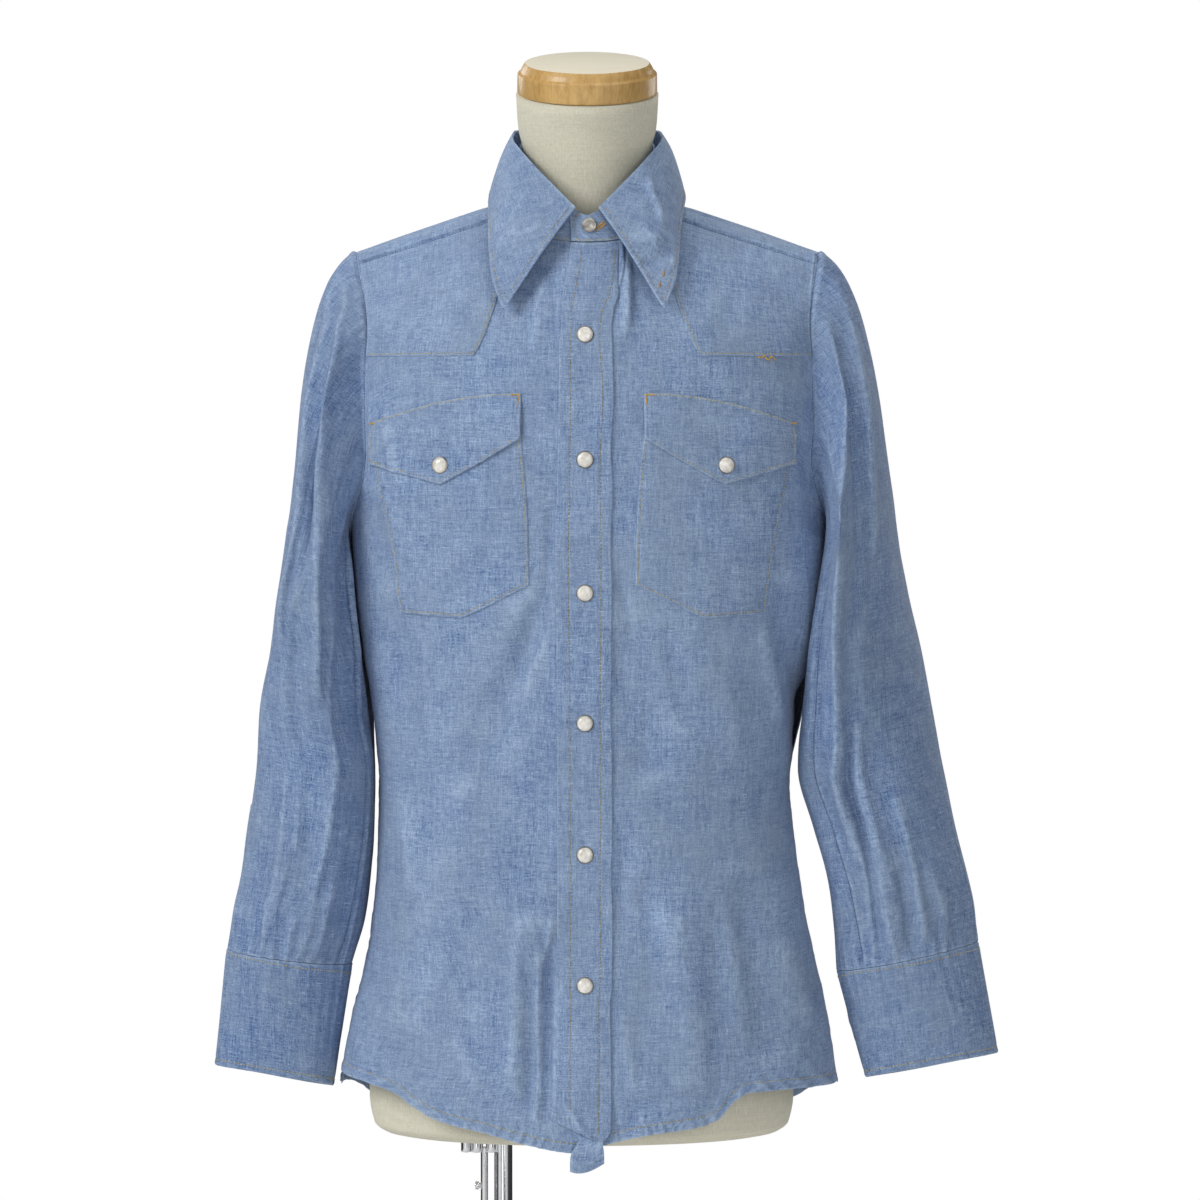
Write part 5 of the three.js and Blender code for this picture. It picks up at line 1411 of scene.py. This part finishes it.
def collar_leaf_piece():
    """From the free edge up to the fold, made as two halves from the front edges backwards."""
    half = spread(84, [0.003, 0.008, 0.014, 0.022])
    t = np.concatenate([half, half[::-1][1:]])
    side = np.where(np.arange(len(t)) < len(half), 1, -1)
    row = through(LEAF, "t", t)
    up = spread(34, [0.006, 0.014, 0.024, 0.04])[:, None]
    fold = points(side * row["fx"], row["fy"], row["fz"])
    left_in = 4.5 * (side > 0) * (1 - smooth(t, 0.3, 0.6))
    edge = points(side * row["ex"] - left_in, row["ey"], row["ez"])
    out = unit(points(fold[:, 0] + edge[:, 0], fold[:, 1] + edge[:, 1], 60 + 0 * t))
    deep = np.linalg.norm(fold - edge, axis=-1)
    along = np.cumsum(np.linalg.norm(np.diff(edge, axis=0, prepend=edge[:1]), axis=1))
    from_end = np.minimum(t * 215, deep) + 0 * up
    away = np.minimum(up * deep, from_end)
    height = 2.5 * np.sin(np.pi * up**1.3) + rounded(away, 0.9, 1.6)
    height = height - 0.35 * bell(away - 5, 1.0)
    height = height + 0.5 * ripple(along + 20 * up, 113, 8) * mound(away - 4, 22)
    height = height + 0.5 * bumps(along, up * 60, 115, 34) * smooth(away, 0, 14)
    for s in SIDES:
        for t1, u1, t2, u2, width, rise in zip(*LEAF_CREASES[s].values()):
            run = np.hypot(t2 - t1, (u2 - u1) * LEAF_SHAPE)
            place = ((t - t1) * (t2 - t1) + (up - u1) * (u2 - u1) * LEAF_SHAPE**2) / run**2
            beside = ((t - t1) * (u2 - u1) * LEAF_SHAPE - (up - u1) * LEAF_SHAPE * (t2 - t1)) / run
            shape = np.exp(-np.abs(beside / width) ** 1.5) * (1 - (2 * np.clip(place, 0, 1) - 1) ** 4)
            inside = (side == s) & (place > 0) & (place < 1)
            height = height + np.where(inside, LEAF_DEPTH * rise * shape, 0)
    grid = edge + (fold - edge) * up[..., None] + out * height[..., None]
    # The points are turned out a little round: a place near both of a point's edges is drawn in.
    for s, tip, inward in ((1, 0, 12), (-1, -1, -13)):
        corner = grid[0, tip]
        first, second = unit(grid[0, inward] - corner), unit(grid[8, tip] - corner)
        run = np.linalg.norm(grid[0] - corner, axis=-1)
        a = np.clip(1 - run / TIP_ROUND, 0, 1) * (side == s)
        b = np.clip(1 - up * deep / TIP_ROUND, 0, 1) * (side == s)
        shrink = 1 - np.maximum(a, b) / np.maximum(np.hypot(a, b), 1e-6)
        shrink = np.where((a > 0) & (b > 0), shrink, 0) * TIP_ROUND
        grid = grid + (a * shrink)[..., None] * first + (b * shrink)[..., None] * second
    return Cloth("collar_leaf", grid, FACED)


collar_stand = collar_stand_piece()
collar_leaf = collar_leaf_piece()

# ---------------------------------------------------------------- stitched lines

# Places along and across a piece's grid are in cells: 2.4 to 3.2 is just inside its rounded edge.


def nearest_line(piece, target):
    """Lifts a line of points onto a piece's outer face: the face's nearest grid points, blended."""
    flat, normals = piece.grid.reshape(-1, 3), piece.normals.reshape(-1, 3)
    found, out = [], []
    for point in target:
        gap = ((flat - point) ** 2).sum(1)
        near = np.argpartition(gap, 6)[:6]
        weight = 1 / (gap[near] + 0.05)
        weight = weight / weight.sum()
        normal = unit((normals[near] * weight[:, None]).sum(0))
        centre = (flat[near] * weight[:, None]).sum(0)
        found.append(point + normal * ((centre - point) @ normal))
        out.append(normal)
    return np.array(found), np.array(out)


def nearest(piece, target):
    """The same for one point."""
    place, normal = nearest_line(piece, np.array([target], float))
    return place[0], normal[0]


def smooth_path(xs, zs, count=90):
    """A polyline through places, in even steps."""
    steps = np.concatenate([[0], np.cumsum(np.hypot(np.diff(xs), np.diff(zs)))])
    at = np.linspace(0, steps[-1], count)
    return np.interp(at, steps, xs), np.interp(at, steps, zs)


def sew_front(piece, xs, zs, kind="tan", count=90, **settings):
    """Stitches on a piece that lies on the front, through places by x and z."""
    x, z = smooth_path(np.asarray(xs, float), np.asarray(zs, float), count)
    line, _ = front(x, z, 1.0)
    sew(nearest_line(piece, line), kind, **settings)


def sew_placket():
    z = np.linspace(704, 1392, 260)
    lines = through(PLACKET_LINES, "z", z)
    for name in ("left_stitch", "right_stitch"):
        sew_front(placket, lines[name], z, "brown", count=260, pitch=2.9)


def sew_pocket(side):
    inner_z = np.linspace(POCKET_TOP - 8, 1121, 50)
    inner = through(POCKET_INNER, "z", inner_z)["x"] + 2
    outer_z = np.linspace(1099, POCKET_TOP - 8, 50)
    outer = through(POCKET_OUTER, "z", outer_z)["x"] - 2
    xs = np.concatenate([inner, [42, 91.5, 137.5], outer])
    zs = np.concatenate([inner_z, [1118.4, 1094.4, 1097.2], outer_z])
    sew_front(pockets[side], breast(side, xs), zs, count=200)
    flap = flaps[side]
    top, low = flap_lines(np.linspace(0, 1, 120))
    sew_front(flap, breast(side, np.clip(low[0], 48.6, 158)), low[1] + 2.7, count=130)
    sew_front(flap, breast(side, top[0]), top[1] - 0.9, count=130)
    for x1, x2 in ((48.4, 48.4), (158.4, 158.8)):
        z1 = np.interp(x1, FLAP_BOTTOM["x"], FLAP_BOTTOM["z"]) + 2
        z2 = np.interp(x2, FLAP_TOP["x"], FLAP_TOP["z"]) - 1
        sew_front(flap, breast(side, np.array([x1, x2])), [z1, z2], count=30)


def sew_yoke(side):
    piece = yoke_fronts[side]
    rows, columns = piece.grid.shape[:2]
    count = 110
    share = np.linspace(0.013, 1, count)
    share = 1 - share if side < 0 else share
    # Along the lower edge, up the edge by the placket, and the shoulder's seam.
    sew(piece.at(np.full(count, 3.2), share * (columns - 1)), "tan")
    column = 2.8 if side > 0 else columns - 1 - 2.8
    sew(piece.at(np.linspace(3.2, rows - 1.2, count), np.full(count, column)), "tan")
    across = np.linspace(0.02, 0.98, count) * (columns - 1)
    # The shoulder's seam in dark dashes: thread, and painted shade along its groove.
    sew(piece.at(np.full(count, YOKE_SEAM_ROW - 1.2), across), width=0.9, **SEAM_SHADE)


def sew_hem(piece):
    rows, columns = piece.grid.shape[:2]
    v = arcs(piece.grid, 0)
    column = np.linspace(1, columns - 2, 300)
    at = np.array([np.interp(HEM_STITCH, v[:40, int(round(c))], np.arange(40)) for c in column])
    sew(piece.at(at, column), "tan")


def sew_tubes(side):
    cuff, sleeve = cuffs[side], sleeves[side]
    columns = cuff.grid.shape[1]
    around = np.linspace(0, columns, 300) % columns
    v = arcs(cuff.grid, 0)
    for distance in (5.0, v[-1].min() - 2.2):
        at = np.array([np.interp(distance, v[:, int(c) % columns], np.arange(len(v))) for c in around])
        sew(cuff.at(at, around), "tan")
    z = np.linspace(833, ELBOW - 2, 160)
    line = tube_point(side, np.full_like(z, SEAM_ANGLES[side]), z)
    # The underarm seam in dark dashes: thread, and painted shade along its groove.
    sew(nearest_line(sleeve, line), width=1.0, **SEAM_SHADE)
    # The armhole's seam, all round the sleeve's head, in dark dashes: thread, and painted shade along
    # its groove.
    columns = sleeve.grid.shape[1]
    around = np.linspace(0, columns, 400) % columns
    path = sleeve.at(np.full(400, len(sleeve.grid) - 1.6), around)
    sew(path, width=1.0, **{**SEAM_SHADE, "height": 0.3})


def sew_collar():
    rows, columns = collar_leaf.grid.shape[:2]
    u, v = arcs(collar_leaf.grid, 1), arcs(collar_leaf.grid, 0)
    near = lambda c: int(round(c))
    # Along the free edge, but for its ends, and up both front edges.
    column = np.linspace(2, columns - 3, 420)
    reach = np.array([np.minimum(u[0, near(c)], u[0, -1] - u[0, near(c)]) for c in column])
    at = np.array([np.interp(LEAF_STITCH, v[:, near(c)], np.arange(rows)) for c in column])
    keep = reach > 4.4
    sew(collar_leaf.at(at[keep], column[keep]), "brown")
    up = np.linspace(0.075, 0.97, 90) * (rows - 1)
    for side in SIDES:
        ends = [LEAF_STITCH if side > 0 else u[near(r), -1] - LEAF_STITCH for r in up]
        at = [np.interp(end, u[near(r)], np.arange(columns)) for end, r in zip(ends, up)]
        sew(collar_leaf.at(up, np.array(at)), "brown")
    rows, columns = collar_stand.grid.shape[:2]
    sew(collar_stand.at(np.full(300, 2.6), np.linspace(2, columns - 2, 300)), "tan")
    sew(collar_stand.at(np.linspace(2.6, rows - 3, 60), np.full(60, 2.4)), "tan")


# Bar-tacks at the flaps' corners: place, whether it lies level, and length.
FLAP_TACKS = (
    (47.5, 1259.6, True, 7.5), (48, 1256, False, 6), (159.5, 1238.2, True, 4), (159.5, 1209, False, 3),
)


def sew_tacks():
    # A short slit over the right flap's snap, drawn in dark dashes: painted shade in the slit.
    z = np.linspace(1233, 1212.5, 40)
    slit = {"count": 40, "pitch": 1.0, "length": 1.5, "width": 0.7, "height": 0.2}
    sew_front(flaps[-1], -116.8 + 0.11 * (1233 - z), z, "seam_shade_blue", **slit)
    for side in SIDES:
        for x, z, level, length in FLAP_TACKS:
            place = breast(side, x + (2.2 if level and x < 100 else 0))
            point, normal = nearest(flaps[side], front(place, z, 2.0)[0])
            along = (1.0, 0, 0) if level else (0, 0, 1.0)
            tack(point, normal, unit(np.cross(np.cross(normal, along), normal)), length, 1.7)
    # Two more in the collar's fold beside its left point.
    for place in ((58, -97, 1352), (55, -100, 1343)):
        point, normal = nearest(collar_leaf, place)
        tack(point + normal * 0.2, normal, unit(np.cross(normal, (1.0, 0, 0))), 3.6, 2.2)
    # A loose end of thread on the left front yoke's seam.
    x = 128 + np.array([0, 3, 5, 6.5, 8, 10, 12, 13])
    z = 1288 + np.array([0, -0.6, 1.4, -1.6, -2.2, 0.6, -0.4, -2.6])
    x, z = smooth_path(x, z, 40)
    sew(front(x, z, 2.0), "gold", pitch=0.9, length=1.4, width=1.3, height=0.5)


# ---------------------------------------------------------------- snaps and collar button


def turned(name, profile, sides, point, normal, material, slot, replaced):
    """A turned piece from radii and heights, standing on a point along a normal."""
    axis = unit(np.asarray(normal))
    first = unit(np.cross(axis, (0.0, 0.0, 1.0)))
    second = np.cross(axis, first)
    angle = np.linspace(0, 2 * np.pi, sides, endpoint=False)[:, None]
    round_ = first * np.cos(angle) + second * np.sin(angle)
    rings = [point + round_ * radius + axis * height for radius, height in profile]
    places = np.concatenate(rings)
    faces = []
    for j in range(len(profile) - 1):
        for i in range(sides):
            k = (i + 1) % sides
            faces.append([j * sides + i, (j + 1) * sides + i, (j + 1) * sides + k, j * sides + k])
    faces += [list(range(sides)), [(len(profile) - 1) * sides + i for i in reversed(range(sides))]]
    enter(mesh_object(name, places / 1000, faces, material), replaced)


# Radii and heights.
CAP_PROFILE = [
    (5.75, -0.4), (5.85, 0.5), (5.75, 1.0), (5.4, 1.6), (4.8, 2.1), (3.9, 2.5), (2.8, 2.8), (1.7, 2.96),
    (0.6, 3.02),
]
RIM_PROFILE = [
    (5.9, -0.5), (6.5, -0.4), (6.65, 0.1), (6.5, 0.6), (6.2, 0.9), (6.0, 0.85), (5.86, 0.6), (5.84, 0.2),
]
BUTTON_PROFILE = [
    (4.8, -0.4), (5.3, 0.3), (5.6, 1.0), (5.5, 1.8), (5.1, 2.2), (4.7, 2.1), (4.3, 1.8), (3.6, 1.95),
    (2.4, 2.25), (1.2, 2.4), (0.3, 2.42),
]


def snap(name, point, normal):
    turned(f"{name}_ring", RIM_PROFILE, 28, point, normal, nickel, "snap_rim", f"{name}_rim")
    turned(f"{name}_pearl", CAP_PROFILE, 28, point, normal, pearl, "snap_cap", f"{name}_cap")


CUFF_SNAP_ANGLE = (17.5 - 12) / 13 * np.pi


def make_snaps():
    for i, level in enumerate(SNAP_LEVELS):
        snap(f"snap_front_{i + 1}", *front(SNAP_X, level, 1.75))
    for side in SIDES:
        snap(f"snap_pocket_{NAMES[side]}", *nearest(flaps[side], front(*POCKET_SNAP[side], 3.0)[0]))
        # The cuff's two snaps are on its back, a sixth of its depth from its edges.
        rows, columns = cuffs[side].grid.shape[:2]
        column = (CUFF_SNAP_ANGLE + np.pi) / (2 * np.pi) * columns
        column = columns - 1 - column if side < 0 else column
        for i, share in enumerate((1 / 6, 5 / 6)):
            snap(f"snap_cuff_{NAMES[side]}_{i + 1}", *cuffs[side].at(share * (rows - 1), column))


def make_button():
    rows, columns = collar_stand.grid.shape[:2]
    u = arcs(collar_stand.grid, 1)[0]

    def on_stand(along, up):
        """A place on the collar stand, so far from its front end and at a share of its height."""
        return collar_stand.at(up * (rows - 1), np.interp(along, u, np.arange(columns)))

    at = on_stand(13.3, 0.6)
    turned("collar_button_metal", BUTTON_PROFILE, 36, *at, brass, "collar_button", "collar_button")
    # The buttonhole's golden edge shows beside the button.
    place, out = on_stand(21.6, 0.5)
    for rise in (-1.0, 1.0):
        middle = place + np.array((-0.6, 0, 0.8)) * rise
        tack(middle, out, unit(np.cross(out, (0.62, 0, -0.78))), 8.5, 2.0)
    place, out = on_stand(6, 0.9)
    tack(place, out, unit(np.cross(out, (0.9, 0, -0.5))), 2.0, 1.8)


# ---------------------------------------------------------------- dress form and stand


def lofted(name, rings, material, replaced):
    """A piece from rings of points, one over the other."""
    count = len(rings[0])
    faces = []
    for j in range(len(rings) - 1):
        for i in range(count):
            k = (i + 1) % count
            faces.append([j * count + i, j * count + k, (j + 1) * count + k, (j + 1) * count + i])
    faces += [list(reversed(range(count))), [(len(rings) - 1) * count + i for i in range(count)]]
    made = mesh_object(name, np.concatenate(rings) / 1000, faces, material)
    enter(made, replaced)
    return made


NECK_TILT = 14


def make_form():
    levels = np.concatenate([np.linspace(690, 706, 16), np.linspace(712, 1490, 110)])
    row = through(FORM, "z", levels)
    tilt = math.radians(NECK_TILT) * smooth(levels, 1408, 1490)
    angle = np.linspace(0, 2 * np.pi, 97)[:-1]
    rings = []
    for j, z in enumerate(levels):
        y = (row["front"][j] + row["back"][j]) / 2 * np.sin(angle)
        middle = (row["back"][j] - row["front"][j]) / 2
        aside = -4.5 * float(smooth(z, 950, 760))
        x = aside + row["half"][j] * np.cos(angle)
        rings.append(points(x, middle + y, z + y * np.tan(tilt[j])))
    lofted("form_linen_body", rings, linen, "form_body")


def rings_of(profile, sides, centre, degrees=0):
    """Rings of a turned piece whose axis leans forward."""
    angle = np.linspace(0, 2 * np.pi, sides + 1)[:-1]
    cos, sin = math.cos(math.radians(degrees)), math.sin(math.radians(degrees))
    rings = []
    for radius, height in profile:
        x, y = radius * np.cos(angle), radius * np.sin(angle)
        rings.append(points(x, y * cos - height * sin, y * sin + height * cos) + centre)
    return rings


def rounded_profile(corners, radius=0.8, steps=3):
    """A profile whose corners are rounded a little."""
    made = [corners[0]]
    for before, corner, after in zip(corners, corners[1:], corners[2:]):
        before, corner, after = (np.array(p, float) for p in (before, corner, after))
        a = corner + unit(before - corner) * radius
        b = corner + unit(after - corner) * radius
        shares = np.linspace(0, 1, steps + 1)
        made += [tuple(lerp(lerp(a, corner, t), lerp(corner, b, t), t)) for t in shares]
    return made + [corners[-1]]


# Radii and heights again; the stand's own are above the floor.
CAP_CORNERS = [
    (2, 0.4), (52.8, 0.4), (53.5, 2), (53.3, 15.5), (51.2, 17.2), (49.6, 20.5), (47.6, 23.6), (2, 24),
]
POLE_CORNERS = [(1, 14.8), (7, 14.8), (7, 689.6), (1, 689.6)]
ROD_CORNERS = [(0.5, 560), (2.8, 560), (2.8, 679), (0.5, 679)]
BASE_CORNERS = [
    (2, 0), (188.5, 0), (190, 1.5), (190, 4.5), (186, 6.2), (95, 12), (20, 13.6), (10, 14.4), (2, 14.4),
]
KNOB_PROFILE = [(0.5, 0), (2.0, 0), (2.0, 1), (2.9, 1.3), (3.2, 1.8), (3.2, 3.6), (2.9, 4.1), (0.5, 4.2)]
POLE_X = -65
ROD_X = -79.7


def make_stand():
    cap = rings_of(rounded_profile(CAP_CORNERS, 0.5), 96, (0, -20, 1490.4), NECK_TILT)
    made = lofted("form_wood_cap", cap, wood, "form_neck_cap")
    # The flat top shows its grain lying, the band standing; the top's far paler colour is a painted
    # highlight.
    made.data.materials.append(wood_top_painted_highlight)
    for polygon in made.data.polygons:
        if polygon.normal.z > 0.93 and polygon.center.z > 1.505:
            polygon.material_index = 1
        polygon.use_smooth = polygon.use_smooth and len(polygon.vertices) == 4

    def steel(name, rings, replaced):
        return lofted(name, rings, chrome, replaced)

    steel("pole_chrome", rings_of(rounded_profile(POLE_CORNERS, 0.5), 48, (POLE_X, 0, 0)), "stand_pole")
    steel("rod_chrome", rings_of(rounded_profile(ROD_CORNERS, 0.6), 32, (ROD_X, 0, 0)), "stand_rod")
    base = rings_of(rounded_profile(BASE_CORNERS, 1.2), 128, (POLE_X, 0, 0))
    steel("base_chrome", base, "stand_base")
    knob = np.array([ROD_X - 3, 0, 649.0])
    turned("knob_chrome", KNOB_PROFILE, 24, knob, (-1, 0, 0), chrome, "stand_chrome", "stand_knob")
    # The height clamp: a nut, two turned bosses and a thin plate over them.
    for i, (x, radius, sides) in enumerate(((-93.6, 4, 6), (-85.4, 4.8, 32), (-74, 4.4, 32))):
        boss = rounded_profile([(0.5, 675.4), (radius, 675.4), (radius, 687.4), (0.5, 687.4)], 1.4)
        steel(f"clamp_boss_{i + 1}", rings_of(boss, sides, (x, -3.5, 0)), "stand_bracket")
    outline = [(-97, -7), (-72.5, -7), (-72.5, 9), (-97, 9)]
    rings = [np.array([(x, y, z) for x, y in outline]) for z in (687.5, 689.2)]
    steel("clamp_plate", rings, "stand_bracket").modifiers.new("edges", "BEVEL").width = 0.0004


# ---------------------------------------------------------------- putting it together

cloths = [
    (front_right, "draped", "form_body"),
    (front_left, "draped", "form_body"),
    (back, "draped", "form_body"),
    (yoke_back, "draped", "form_body"),
    (yoke_fronts[-1], "stretched", "front_right"),
    (yoke_fronts[1], "stretched", "front_left"),
    (placket, "stretched", "button_stand"),
    (button_stand, "stretched", "form_body"),
    (pockets[-1], "stretched", "front_right"),
    (pockets[1], "stretched", "front_left"),
    (flaps[-1], "stretched", "pocket_right"),
    (flaps[1], "stretched", "pocket_left"),
    (sleeves[-1], "hung", "form_body"),
    (sleeves[1], "hung", "form_body"),
    (cuffs[-1], "hung", "sleeve_right"),
    (cuffs[1], "hung", "sleeve_left"),
    (sleeve_plackets[-1], "stretched", "sleeve_right"),
    (sleeve_plackets[1], "stretched", "sleeve_left"),
    (collar_stand, "stretched", "form_body"),
    (collar_leaf, "folded", "collar_stand"),
]
for cloth, held, rests_on in cloths:
    # The cut: the longest row and column, rounded up to 5 mm.
    wide = arcs(cloth.grid, 1)[:, -1].max()
    if cloth.closed:
        wide += np.linalg.norm(cloth.grid[:, 0] - cloth.grid[:, -1], axis=-1).max()
    size = tuple(math.ceil(reach / 5) * 0.005 for reach in (wide, arcs(cloth.grid, 0)[-1].max()))
    # Sleeves, cuffs and sleeve plackets get the darker copy of the chambray: painted shade.
    deep = cloth in (*sleeves.values(), *cuffs.values(), *sleeve_plackets.values())
    cloth.build(material=shaded_chambray if deep else chambray, flat=size, held=held, rests_on=rests_on)

sew_placket()
for side in SIDES:
    sew_pocket(side)
    sew_yoke(side)
    sew_tubes(side)
for piece in (front_right, front_left, back):
    sew_hem(piece)
sew_collar()
sew_tacks()
make_snaps()
make_button()
build_threads()
make_form()
make_stand()

# ---------------------------------------------------------------- floor and light

floor_material, _, _ = new_material("floor", Base_Color=(0.86, 0.86, 0.86, 1), Roughness=0.9)
corners = [(-2.5, -3, -0.0005), (2.5, -3, -0.0005), (2.5, 2, -0.0005), (-2.5, 2, -0.0005)]
floor = mesh_object("floor", corners, [[0, 1, 2, 3]], floor_material, False)


# Name, place, the level on the centre line that it is turned to, size and power.
LIGHTS = (
    ("key", (-2.7, -2.3, 2.9), 1.1, 1.9, 84),
    ("fill", (1.3, -3.4, 1.7), 1.1, 1.8, 21),
    ("low_fill", (-0.6, -3.2, 0.3), 1.0, 1.6, 7),
    ("over", (0.2, 0.1, 3.4), 1.3, 1.0, 14),
    ("back_left", (-1.8, 2.2, 2.2), 1.1, 1.5, 16),
    ("back_right", (2.0, 2.0, 1.8), 1.1, 1.5, 12),
)
for name, place, level, size, power in LIGHTS:
    light = bpy.data.lights.new(name, "AREA")
    light.shape, light.size, light.energy = "DISK", size, power
    made = bpy.data.objects.new(name, light)
    bpy.context.scene.collection.objects.link(made)
    made.location = place
    made.rotation_euler = (Vector((0, 0, level)) - Vector(place)).to_track_quat("-Z", "Y").to_euler()

# Brightness of the studio's walls by the share of a turn.
STRIPS = (
    (0.02, 0.05), (0.2, 0.04), (0.3, 0.1), (0.36, 0.9), (0.4, 0.85), (0.43, 0.15), (0.5, 0.35),
    (0.56, 0.12), (0.6, 0.8), (0.64, 0.6), (0.68, 0.06), (0.85, 0.03), (0.98, 0.05),
)
world = bpy.data.worlds.new("studio")
world.use_nodes = True
bpy.context.scene.world = world
tree = world.node_tree
background = tree.nodes["Background"]
# White behind the part; what shines sees a studio with bright strips between dark walls.
kind = add_node(tree, "LightPath").outputs
way = add_node(tree, "SeparateXYZ", {0: add_node(tree, "TexCoord").outputs["Generated"]}).outputs
turn = calculate(tree, "ARCTAN2", way["X"], times(tree, way["Y"], -1))
strips = add_node(tree, "ValToRGB", {0: fit_range(tree, turn, -math.pi, math.pi)})
ramp = strips.color_ramp
for place, value in STRIPS:
    stop = ramp.elements.new(place)
    stop.color = (value, value, value, 1)
ramp.elements.remove(ramp.elements[0])
ramp.elements.remove(ramp.elements[-1])
lit = add_node(tree, "Mix", {0: kind["Is Glossy Ray"], 2: 0.26, 3: strips.outputs[0]}).outputs[0]
strength = add_node(tree, "Mix", {0: kind["Is Camera Ray"], 2: lit, 3: 1.0}).outputs[0]
tree.links.new(strength, background.inputs["Strength"])
background.inputs["Color"].default_value = (1, 1, 1, 1)
bpy.context.scene.view_settings.view_transform = "Standard"
